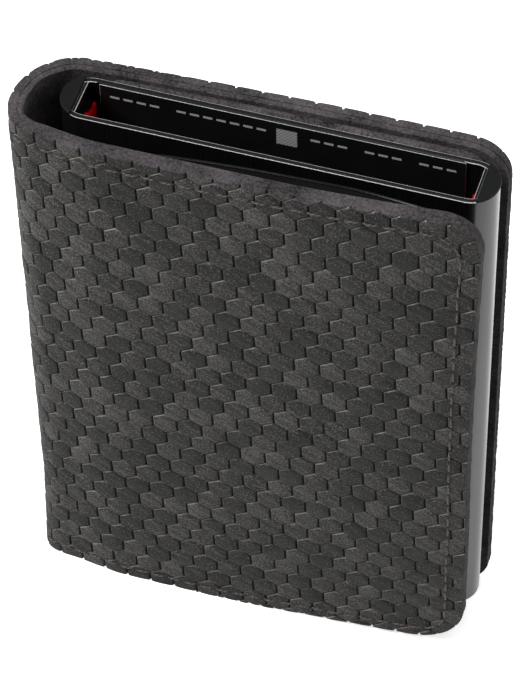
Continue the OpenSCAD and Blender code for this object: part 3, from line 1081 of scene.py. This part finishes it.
def make_plate_piece():
    """A thin sheet with a small chamfer round its front face, coloured as a painted highlight.

    Rows run from the back face round the edge to the front: each is the outline moved
    in by an inset at a depth.
    """
    low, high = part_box("inner_plate")
    outline = np.array([(low.x, low.z), (high.x, low.z), (high.x, high.z), (low.x, high.z)])
    inward = np.array([(1, 1), (-1, 1), (-1, -1), (1, -1)])
    rows = [(0.0, high.y), (0.0, low.y + PLATE_CUT), (PLATE_CUT, low.y)]
    points = np.concatenate([np.insert(outline + inward * inset, 1, y, axis=1)
                             for inset, y in rows])
    faces = [*loft(np.zeros((3, 4))), (3, 2, 1, 0), (8, 9, 10, 11)]
    kinds = [0] * 4 + [1] * 4 + [0, 0]
    return new_piece("printed_inner_plate", points, faces, 20, kinds)


plate = make_plate_piece()
print("plate", len(plate.data.polygons), "faces")

# %% [markdown]
# ## Felt and foam
#
# Each pad is a strip of red felt on foam. Felt has no sharp edge, so a pad is a grid
# wrapped round a rounded box, with a rough face made of ripples. Cloth simulation is
# the usual way to plump a cushion, but a strip as small as this is pressed flat by the
# cards, so its shape is worked out directly.

# %% Pads
def make_pad(name, low, high, rough, corner, step, dip):
    """A rounded strip: a superellipse section carried up in rows, roughened outwards.

    The upper end sags between two tufts: its rows drop by dip times a bell curve in y.
    """
    half = np.array([(high.x - low.x) / 2, (high.y - low.y) / 2])
    centre = np.array([(high.x + low.x) / 2, (high.y + low.y) / 2])
    count = 48
    a = np.linspace(0, 2 * math.pi, count, endpoint=False)
    power = 2 / corner
    cx = np.sign(np.cos(a)) * np.abs(np.cos(a)) ** power
    cy = np.sign(np.sin(a)) * np.abs(np.sin(a)) ** power
    z = np.arange(low.z + 0.3 * MM, high.z - 0.3 * MM, step)
    z = np.concatenate([[low.z, low.z + 0.1 * MM], z, [high.z - 0.1 * MM, high.z]])
    shrink = np.ones(len(z))
    shrink[[0, -1]] = 0.7
    shrink[[1, -2]] = 0.94
    zz, aa = np.meshgrid(z, a, indexing="ij")
    noise = rough * (ripple(aa * 2 * MM, zz, 0.23 * MM, 1.0) - 1) * 0.5
    x = centre[0] + cx[None] * (half[0] * shrink[:, None] + noise)
    y = centre[1] + cy[None] * (half[1] * shrink[:, None] + noise)
    bell = np.exp(-((y - centre[1] - 0.4 * MM) / (0.9 * MM)) ** 2)
    bell = bell + 0.5 * smooth((y - centre[1]) / half[1])
    drop = dip * bell * smooth((zz - high.z + 9 * MM) / (9 * MM))
    points = np.stack([x, y, zz - drop], -1)
    faces = [*loft(points), tuple(range(count))[::-1],
             tuple(range(count * (len(z) - 1), count * len(z)))]
    return new_piece(name, points.reshape(-1, 3), faces, 60)


PAD_DIP = {"left": 2.2 * MM, "right": 0.2 * MM}
pads = {}
for end in ("left", "right"):
    pads["felt_" + end] = make_pad("felt_" + end, *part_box("pad_felt_" + end),
                                   0.26 * MM, 5, 0.3 * MM, PAD_DIP[end])
    pads["foam_" + end] = make_pad("foam_" + end, *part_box("pad_foam_" + end),
                                   0.06 * MM, 10, 1.5 * MM, PAD_DIP[end])
print("pads", len(pads))

# %% [markdown]
# ## Materials
#
# Every finish has its own Principled shader, whose constants are set on its own sockets.
# What varies over the surface comes from noise, as a ramp between two values. These
# helpers add nodes, link or set their inputs, and name the steps that repeat.

# %% Node helpers
def new_material(name):
    """An empty node material with a Principled shader wired to its output."""
    material = bpy.data.materials.new(name)
    material.use_nodes = True
    tree = material.node_tree
    return material, tree, tree.nodes["Principled BSDF"]


def feed(tree, node, inputs):
    """Links a socket to each input, or sets the input's own value, by name or index."""
    for key, value in inputs.items():
        if isinstance(value, bpy.types.NodeSocket):
            tree.links.new(value, node.inputs[key])
        else:
            node.inputs[key].default_value = value


def add(tree, kind, inputs=None, **settings):
    """Adds a node, sets its settings, and feeds its inputs."""
    node = tree.nodes.new(kind)
    for key, value in settings.items():
        setattr(node, key, value)
    feed(tree, node, inputs or {})
    return node


def ramp(tree, value, stops):
    """A colour ramp: stops are (place, grey or colour)."""
    node = add(tree, "ShaderNodeValToRGB", {0: value})
    elements = node.color_ramp.elements
    while len(elements) < len(stops):
        elements.new(0.5)
    for element, (place, colour) in zip(elements, stops):
        element.position = place
        element.color = (colour,) * 3 + (1,) if isinstance(colour, (int, float)) else colour
    return node.outputs[0]


def vary(tree, noise, low, high):
    """Between low and high over the middle part of a noise, where most of it lies."""
    return ramp(tree, noise, ((0.3, low), (0.7, high)))


# %% Sums, mixes and bumps
def mix(tree, share, a, b):
    """Mixes two colours."""
    return add(tree, "ShaderNodeMix", {0: share, 6: a, 7: b}, data_type="RGBA").outputs[2]


def maths(tree, operation, a, b=0.0, clamp=False):
    """One step of arithmetic."""
    return add(tree, "ShaderNodeMath", {0: a, 1: b}, operation=operation,
               use_clamp=clamp).outputs[0]


def weighted(tree, *parts):
    """The sum of some values, each times its weight."""
    total = None
    for value, weight in parts:
        part = maths(tree, "MULTIPLY", value, weight)
        total = part if total is None else maths(tree, "ADD", total, part)
    return total


def bump(tree, height, strength, distance):
    """A normal that leans with the slope of height."""
    return add(tree, "ShaderNodeBump", {"Height": height, "Strength": strength,
                                        "Distance": distance}).outputs[0]

# %% Colours, coordinates and noise
def rgb(r, g, b):
    """An sRGB colour, 0 to 255, as the linear colour that the shader wants."""
    linear = [c / 255 / 12.92 if c <= 10 else ((c / 255 + 0.055) / 1.055) ** 2.4
              for c in (r, g, b)]
    return (*linear, 1.0)


def read(tree, name, output="Fac"):
    """A value that is stored on the piece's own points or faces."""
    return add(tree, "ShaderNodeAttribute", attribute_name=name).outputs[output]


def object_vector(tree):
    """Object coordinates."""
    return add(tree, "ShaderNodeTexCoord").outputs["Object"]


def noise(tree, vector, scale):
    """A plain noise."""
    return add(tree, "ShaderNodeTexNoise", {"Vector": vector, "Scale": scale}).outputs[0]


print("dark grey is", [round(c, 4) for c in rgb(46, 45, 43)])

# %% [markdown]
# ## Fibres, a group that many finishes share
#
# Hide, suede, felt and even moulded plastic have the same three scales of variation: a
# fine nap, slow mottling and drawn-out streaks. The group puts out only those three
# values, so each material decides what they do to its colour, gloss and bump.

# %% Fibre group
def make_fibre_group():
    """Three noises: Fine for the nap, Mottle twelve times slower, Streak stretched."""
    group = bpy.data.node_groups.new("fibre", "ShaderNodeTree")
    for name, kind in (("Vector", "NodeSocketVector"), ("Scale", "NodeSocketFloat"),
                       ("Stretch", "NodeSocketFloat")):
        group.interface.new_socket(name, in_out="INPUT", socket_type=kind)
    for name in ("Fine", "Mottle", "Streak"):
        group.interface.new_socket(name, in_out="OUTPUT", socket_type="NodeSocketFloat")
    inside, outside = group.nodes.new("NodeGroupInput"), group.nodes.new("NodeGroupOutput")
    fine = add(group, "ShaderNodeTexNoise", {"Vector": inside.outputs["Vector"],
                                             "Scale": inside.outputs["Scale"],
                                             "Detail": 3.0, "Roughness": 0.65})
    slow = maths(group, "MULTIPLY", inside.outputs["Scale"], 0.08)
    mottle = add(group, "ShaderNodeTexNoise", {"Vector": inside.outputs["Vector"],
                                               "Scale": slow, "Detail": 4.0,
                                               "Roughness": 0.6})
    turned = add(group, "ShaderNodeMapping", {"Vector": inside.outputs["Vector"],
                                              "Rotation": (0.0, 0.0, 0.5)})
    parts = add(group, "ShaderNodeSeparateXYZ", {0: turned.outputs[0]})
    longer = maths(group, "DIVIDE", parts.outputs[0], inside.outputs["Stretch"])
    joined = add(group, "ShaderNodeCombineXYZ", {0: longer, 1: parts.outputs[1],
                                                 2: parts.outputs[2]})
    middle = maths(group, "MULTIPLY", inside.outputs["Scale"], 0.35)
    streak = add(group, "ShaderNodeTexNoise", {"Vector": joined.outputs[0], "Scale": middle,
                                               "Detail": 2.0, "Roughness": 0.5})
    for name, node in (("Fine", fine), ("Mottle", mottle), ("Streak", streak)):
        group.links.new(node.outputs[0], outside.inputs[name])
    return group


fibre_group = make_fibre_group()


def fibre(tree, vector, scale, stretch):
    """Places the fibre group in a material."""
    node = add(tree, "ShaderNodeGroup", node_tree=fibre_group)
    tree.links.new(vector, node.inputs["Vector"])
    node.inputs["Scale"].default_value = scale
    node.inputs["Stretch"].default_value = stretch
    return node.outputs["Fine"], node.outputs["Mottle"], node.outputs["Streak"]


print(fibre_group.name, len(fibre_group.nodes), "nodes")

# %% [markdown]
# ## The hide's finish
#
# Nubuck is ground leather: dull, with a nap. The tile rims are paler, mostly a painted
# highlight that is strongest on the sides facing the key light and partly rubbed wear,
# and the groove floors carry painted shade. The face carries attributes that say how far
# a point is from its tile's border, how much painted highlight its side gets and how far
# the painted shade reaches, so both follow the real relief and need no picture.

# %% Hide
def make_hide():
    """Dull black nubuck: tile tone, mottling, rims with painted highlight and some rubbed wear,
    and painted shade in the grooves.
    """
    material, tree, shader = new_material("embossed_hide")
    fine, mottle, streak = fibre(tree, read(tree, "strip", "Vector"), 3400.0, 5.0)
    level = weighted(tree, (read(tree, "tone"), 0.2), (mottle, 0.25), (fine, 1.1),
                     (streak, 0.4))
    base = ramp(tree, level, ((0.8, rgb(12, 11, 11)), (0.98, rgb(46, 45, 43)),
                              (1.0, rgb(49, 48, 46))))
    grit = ramp(tree, maths(tree, "SUBTRACT", level, 0.5), ((0.48, 0.0), (0.7, 0.75)))
    base = mix(tree, grit, base, rgb(118, 116, 112))
    speck = ramp(tree, fine, ((0.63, 0.0), (0.7, 0.9)))
    base = mix(tree, speck, base, rgb(132, 130, 127))
    # Painted highlight on the tile rims, weighted by side towards the key light; partly rubbed
    # wear.
    rim = ramp(tree, read(tree, "border"), ((0.07, 0.0), (0.12, 0.8), (0.2, 0.35),
                                            (0.28, 0.0)))
    rim = maths(tree, "MULTIPLY", rim, read(tree, "pale"))
    wear_and_painted_highlight = maths(tree, "MULTIPLY", rim, maths(tree, "ADD", streak, 0.5), clamp=True)
    base = mix(tree, wear_and_painted_highlight, base, rgb(146, 144, 140))
    # Painted shade: the groove floors go near black, further on the sides that face away from
    # the key light.
    floor = ramp(tree, read(tree, "shade"), ((0.05, 1.0), (0.1, 0.0)))
    feed(tree, shader, {
        "Base Color": mix(tree, floor, base, rgb(9, 9, 9)),
        "Roughness": vary(tree, mottle, 0.66, 0.86),
        "Normal": bump(tree, weighted(tree, (fine, 1.0), (streak, 0.5)), 0.9, 0.00013),
        "Specular IOR Level": 0.2, "Sheen Weight": 0.05, "Sheen Roughness": 0.5})
    return material


hide_material = make_hide()
print(hide_material.name, len(hide_material.node_tree.nodes), "nodes")

# %% [markdown]
# ## Raw leather
#
# The cut edge, the suede and the smooth pocket differ in tone, in the size of their
# fibres and in how deep the nap is, so one function makes all three.

# %% Cut edge, suede and pocket
def make_raw(name, dark, light, scale, depth, sheen, specular=0.15):
    """Cut or suede leather: a fibrous nap between two tones."""
    material, tree, shader = new_material(name)
    fine, mottle, streak = fibre(tree, read(tree, "strip", "Vector"), scale, 2.5)
    level = weighted(tree, (fine, 0.6), (mottle, 0.5))
    feed(tree, shader, {
        "Base Color": ramp(tree, level, ((0.38, dark), (0.72, light))),
        "Normal": bump(tree, weighted(tree, (fine, 1.0), (streak, 0.5)), 0.9, depth),
        "Roughness": ramp(tree, fine, ((0.2, 0.85), (0.8, 1.0))),
        "Specular IOR Level": specular, "Sheen Weight": sheen, "Sheen Roughness": 0.6})
    return material


cut_material = make_raw("cut_edge", rgb(6, 6, 6), rgb(88, 83, 86), 2300.0, 0.00028, 0.03)
suede_material = make_raw("suede", rgb(5, 5, 5), rgb(34, 31, 29), 2600.0, 0.0002, 0.02)
pocket_material = make_raw("smooth_pocket", rgb(14, 14, 15), rgb(30, 30, 31), 2400.0,
                           0.00002, 0.0, 0.3)
print("cut edge, suede and pocket made")

# %% [markdown]
# ## Metals
#
# Anodising leaves a dyed glassy skin, so the tube is a glossy black rather than a
# metal, with a grain drawn along it. The steel pin is bare metal with an even ground
# surface. The rim chamfers take the same pale ground-metal finish as a painted
# highlight along the edges.

# %% Anodised tube, bright rim and steel
def make_anodised():
    """Black anodised aluminium: a very fine drawn grain up the tube, glossy."""
    material, tree, shader = new_material("anodised")
    place = add(tree, "ShaderNodeMapping", {"Vector": object_vector(tree),
                                            "Scale": (1.0, 1.0, 0.02)})
    grain = noise(tree, place.outputs[0], 9000.0)
    feed(tree, shader, {
        "Roughness": vary(tree, grain, 0.2, 0.28),
        "Base Color": vary(tree, grain, rgb(9, 9, 10), rgb(17, 17, 18)),
        "Normal": bump(tree, grain, 0.15, 0.000004),
        "Metallic": 0.0, "Specular IOR Level": 0.5})
    return material


def make_ground(name, scale, low_rough, high_rough, dark, light, metallic):
    """Ground bare metal: one noise varies its gloss and its tint together."""
    material, tree, shader = new_material(name)
    grain = noise(tree, object_vector(tree), scale)
    feed(tree, shader, {"Roughness": vary(tree, grain, low_rough, high_rough),
                        "Base Color": vary(tree, grain, dark, light),
                        "Metallic": metallic})
    return material


anodised = make_anodised()
# Pale metal for the chamfers of tube, webs and plate: a painted highlight on their edges.
painted_highlight_rim = make_ground("painted_highlight_rim", 4000.0, 0.28, 0.42, rgb(170, 171, 173),
                         rgb(205, 206, 208), 0.4)
steel = make_ground("ground_steel", 5000.0, 0.25, 0.4, rgb(150, 150, 152),
                    rgb(190, 190, 194), 1.0)
print("anodised tube, bright rim and steel made")

# %% [markdown]
# ## Moulded and coated parts
#
# Plugs and base are moulded with a fine spark-eroded texture, and foam, adhesive
# sheet, edge paint and the needle pits differ only in tone, gloss and grain; the
# needle pits' near black is painted shade.

# %% Plastics, foam and paint
def make_moulded(name, dark, light, low_rough, high_rough, scale=2600.0, depth=0.00002,
                 specular=0.5):
    """A fine even texture with slightly varied gloss."""
    material, tree, shader = new_material(name)
    fine, mottle, _ = fibre(tree, object_vector(tree), scale, 1.0)
    feed(tree, shader, {"Base Color": vary(tree, mottle, dark, light),
                        "Roughness": vary(tree, fine, low_rough, high_rough),
                        "Normal": bump(tree, fine, 0.4, depth),
                        "Specular IOR Level": specular})
    return material


plastic = make_moulded("matt_plastic", rgb(9, 10, 10), rgb(17, 18, 18), 0.5, 0.7,
                       specular=0.14)
foam_material = make_moulded("foam", rgb(5, 5, 5), rgb(12, 12, 12), 0.9, 1.0, 1800.0,
                             0.0001, 0.05)
tape_material = make_moulded("bonding_sheet", rgb(40, 40, 40), rgb(56, 56, 56), 0.5, 0.7)
edge_paint = make_moulded("painted_edge", rgb(5, 5, 6), rgb(9, 9, 10), 0.14, 0.24)
# Needle pits: near black as painted shade for the depth of each hole.
hole_painted_shade = make_moulded("needle_hole_painted_shade", rgb(3, 3, 3), rgb(8, 7, 7), 0.9, 1.0)
print("plastic, foam, tape, paint and needle holes made")

# %% [markdown]
# ## Felt and thread
#
# Felt is tangled fibre, bright on its tips and deep red between them. The thread is
# two plies wound round each other; its colour is painted shade in the spiral crease
# between the plies and a painted highlight on their crests, beside a real bump. Both
# follow the twist attribute that each stitch carries, and stay on the stitch wherever
# its points move.

# %% Felt and thread
def make_felt():
    """Red felt: tangled fibres, quite matt."""
    material, tree, shader = new_material("red_felt")
    fine, mottle, streak = fibre(tree, object_vector(tree), 3800.0, 3.0)
    level = weighted(tree, (fine, 0.7), (streak, 0.4))
    feed(tree, shader, {
        "Base Color": ramp(tree, level, ((0.38, rgb(60, 0, 3)), (0.72, rgb(214, 4, 18)))),
        "Normal": bump(tree, level, 1.0, 0.00015),
        "Roughness": vary(tree, mottle, 0.9, 1.0),
        "Specular IOR Level": 0.05})
    return material


def make_thread():
    """Two-ply thread: |sin| of the way along and round makes a spiral, painted shade at 0 and
    painted highlight towards 1.
    """
    material, tree, shader = new_material("thread")
    parts = add(tree, "ShaderNodeSeparateXYZ", {0: read(tree, "twist", "Vector")})
    phase = weighted(tree, (parts.outputs[0], 3.0), (parts.outputs[1], 2.0))
    wave = maths(tree, "ABSOLUTE", maths(tree, "SINE", maths(tree, "MULTIPLY", phase, math.pi)))
    feed(tree, shader, {
        # Painted shade in the ply creases and a painted highlight on the ply crests.
        "Base Color": ramp(tree, wave, ((0.0, rgb(16, 11, 11)), (0.55, rgb(52, 40, 40)),
                                        (1.0, rgb(98, 82, 78)))),
        "Normal": bump(tree, wave, 0.8, 0.00006),
        "Roughness": vary(tree, noise(tree, object_vector(tree), 9000.0), 0.5, 0.8),
        "Sheen Weight": 0.05})
    return material


felt = make_felt()
thread = make_thread()
print("felt and thread made")

# %% [markdown]
# ## The plate's print
#
# The plate carries a light print. Here it is only a row of plain dashes and a chequered
# block, with no letters. A picture would need an image file, and the marks are simple
# enough to be sums of distances: a mark is where two distances are both small.

# %% Dashes and chequers
DASH_DOWN, DASH_START, DASH_PITCH = 2.05 * MM, 1.2 * MM, 1.95 * MM
DASH_HALF_LONG, DASH_HALF_HIGH = 0.68 * MM, 0.2 * MM
DASH_RUNS = ((0, 3), (5, 11), (15, 17), (19, 21), (23, 25))
BLOCK_X, BLOCK_DOWN, BLOCK_HALF, BLOCK_CELL = 27.3 * MM, 2.65 * MM, 1.5 * MM, 0.3 * MM


def near(tree, value, middle, half):
    """1 where value is within half of middle."""
    away = maths(tree, "ABSOLUTE", maths(tree, "SUBTRACT", value, middle))
    return maths(tree, "LESS_THAN", away, half)


def dashes(tree, x, down):
    """Where the dashes are: short strokes at an even pitch, in runs with gaps between."""
    column = maths(tree, "DIVIDE", maths(tree, "SUBTRACT", x, DASH_START), DASH_PITCH)
    across = maths(tree, "MULTIPLY", maths(tree, "FRACT", column), DASH_PITCH)
    stroke = maths(tree, "MULTIPLY", near(tree, across, DASH_PITCH / 2, DASH_HALF_LONG),
                   near(tree, down, DASH_DOWN, DASH_HALF_HIGH))
    run = 0.0
    for first, last in DASH_RUNS:
        here = near(tree, column, (first + last + 1) / 2, (last - first + 1) / 2)
        run = maths(tree, "MAXIMUM", run, here)
    return maths(tree, "MULTIPLY", stroke, run)


def chequers(tree, x, down):
    """A square block whose cells are light where their two counts add up to odd."""
    step_x = maths(tree, "FLOOR", maths(tree, "DIVIDE", x, BLOCK_CELL))
    step_z = maths(tree, "FLOOR", maths(tree, "DIVIDE", down, BLOCK_CELL))
    odd = maths(tree, "FLOORED_MODULO", maths(tree, "ADD", step_x, step_z), 2.0)
    block = maths(tree, "MULTIPLY", near(tree, x, BLOCK_X, BLOCK_HALF),
                  near(tree, down, BLOCK_DOWN, BLOCK_HALF))
    shade = maths(tree, "ADD", maths(tree, "MULTIPLY", odd, 0.5), 0.5)
    return maths(tree, "MULTIPLY", block, shade)

# %% Printed plate
def make_plate():
    """Satin black plate with its print, measured from the plate's left and top."""
    material, tree, shader = new_material("printed_plate")
    low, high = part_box("inner_plate")
    place = add(tree, "ShaderNodeSeparateXYZ", {0: object_vector(tree)})
    x = maths(tree, "SUBTRACT", place.outputs[0], low.x)
    down = maths(tree, "SUBTRACT", high.z, place.outputs[2])
    ink = maths(tree, "MAXIMUM", dashes(tree, x, down), chequers(tree, x, down))
    fine, mottle, _ = fibre(tree, object_vector(tree), 2600.0, 1.0)
    base = vary(tree, mottle, rgb(8, 8, 9), rgb(14, 14, 15))
    feed(tree, shader, {"Base Color": mix(tree, ink, base, rgb(168, 168, 170)),
                        "Roughness": vary(tree, fine, 0.38, 0.5)})
    return material


plate_material = make_plate()
print(len(bpy.data.materials), "materials")

# %% [markdown]
# ## Dressing the pieces
#
# A layer has two material slots, its face and its raw edge, and the tube has two, its
# skin and its bright chamfers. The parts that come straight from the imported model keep
# their meshes and only get a finish.

# %% Dressing the pieces
def dress(piece, *materials):
    """Puts materials in a piece's slots, in order."""
    for place, material in enumerate(materials):
        if place < len(piece.data.materials):
            piece.data.materials[place] = material
        else:
            piece.data.materials.append(material)


dress(hide_rear, hide_material, cut_material)
dress(hide_flap, hide_material, cut_material)
dress(suede_rear, suede_material, cut_material)
dress(suede_flap, suede_material, cut_material)
dress(rear_inner, hide_material, cut_material)
dress(pocket_back, suede_material, suede_material)
dress(pocket_front, pocket_material, edge_paint)
dress(flap_stitches, thread, hole_painted_shade)
dress(rear_stitches, thread, hole_painted_shade)
dress(tube, anodised, painted_highlight_rim)
# The plate's chamfer takes the pale rim finish as a painted highlight.
dress(plate, plate_material, painted_highlight_rim)
dress(plug_left, plastic)
dress(plug_right, plastic)
for end in ("left", "right"):
    dress(pads["felt_" + end], felt)
    dress(pads["foam_" + end], foam_material)
for node, material in (("base_cap", plastic), ("ejector_lever", plastic),
                       ("pivot_pin", steel), ("bonding_pad", tape_material)):
    dress(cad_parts[node], material)
print("dressed")

# %% [markdown]
# ## What moves with what
#
# The hide's two halves each bend at one fold in their shape; they, their linings and
# their stitches are only baked in place, on no body. Everything else rides on one body.

# %% Bodies, the imported parts each piece hides, and slot names that nothing reads
for piece, nodes, slot in ((hide_rear, ("rear_panel", "spine_panel"), "embossed_leather"),
                           (suede_rear, ("rear_lining", "spine_lining"), "suede_lining"),
                           (rear_stitches, ("rear_stitching",), "thread")):
    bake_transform(piece)
    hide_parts(*nodes)
for piece, nodes, slot in ((hide_flap, ("flap_panel", "spine_panel"), "embossed_leather"),
                           (suede_flap, ("flap_lining", "spine_lining"), "suede_lining"),
                           (flap_stitches, ("flap_stitching",), "thread")):
    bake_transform(piece)
    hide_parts(*nodes)
for piece, node, body, slot in (
        (rear_inner, "rear_pocket", "protector", "embossed_leather"),
        (pocket_back, "flap_pocket_back", "flap", "suede_lining"),
        (pocket_front, "flap_pocket_front", "flap", "pocket_leather"),
        (tube, "housing_tube", "protector", "anodised_aluminium"),
        (plate, "inner_plate", "protector", "plate_plastic"),
        (plug_left, "mouth_plug_left", "protector", "black_plastic"),
        (plug_right, "mouth_plug_right", "protector", "black_plastic"),
        (pads["felt_left"], "pad_felt_left", "protector", "red_felt"),
        (pads["felt_right"], "pad_felt_right", "protector", "red_felt"),
        (pads["foam_left"], "pad_foam_left", "protector", "foam"),
        (pads["foam_right"], "pad_foam_right", "protector", "foam")):
    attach(piece, body)
    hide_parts(node)
print("pads declared", len(pads))

# %% [markdown]
# ## Studio
#
# The wallet stands on a pale floor in an even white room. The key is a soft light above
# and to the left, which catches the upper walls of the grooves. A weaker one overhead
# opens the mouth, and a tall one on the right draws a highlight along the tube.

# %% Floor, lights and world
FLOOR_HALF = 3.0
AIM = (0, 0, 0.05)
ROOM_LIGHT = 0.22


def make_floor():
    """A pale floor under the object, with a faint grain."""
    half = FLOOR_HALF
    piece = new_piece("floor", [(-half, -half, 0), (half, -half, 0), (half, half, 0),
                                (-half, half, 0)], [(0, 1, 2, 3)])
    material, tree, shader = new_material("floor")
    grain = noise(tree, object_vector(tree), 40.0)
    feed(tree, shader, {"Base Color": vary(tree, grain, 0.92, 0.95), "Roughness": 0.9,
                        "Specular IOR Level": 0.1, "Emission Color": (1, 1, 1, 1),
                        "Emission Strength": 0.65})
    dress(piece, material)
    return piece

# %% Lights and room
def area_light(name, place, size, power):
    """A rectangular soft light at place that faces AIM."""
    data = bpy.data.lights.new(name, "AREA")
    data.shape = "RECTANGLE"
    data.size, data.size_y = size
    data.energy = power
    light = bpy.data.objects.new(name, data)
    bpy.context.scene.collection.objects.link(light)
    light.location = place
    light.rotation_euler = (Vector(AIM) - Vector(place)).to_track_quat("-Z", "Y").to_euler()
    return light


floor = make_floor()
floor.visible_diffuse = False
area_light("key", (-0.6, -0.32, 0.85), (0.4, 0.4), 13.0)
area_light("top", (0.15, 0.25, 1.0), (0.5, 0.4), 3.0)
area_light("side", (0.85, 0.25, 0.3), (0.35, 0.7), 3.1)
world = bpy.data.worlds.new("room")
world.use_nodes = True
world.node_tree.nodes["Background"].inputs[0].default_value = (1, 1, 1, 1)
world.node_tree.nodes["Background"].inputs[1].default_value = ROOM_LIGHT
bpy.context.scene.world = world
bpy.context.scene.view_settings.view_transform = "Standard"
print("lights", len(bpy.data.lights))
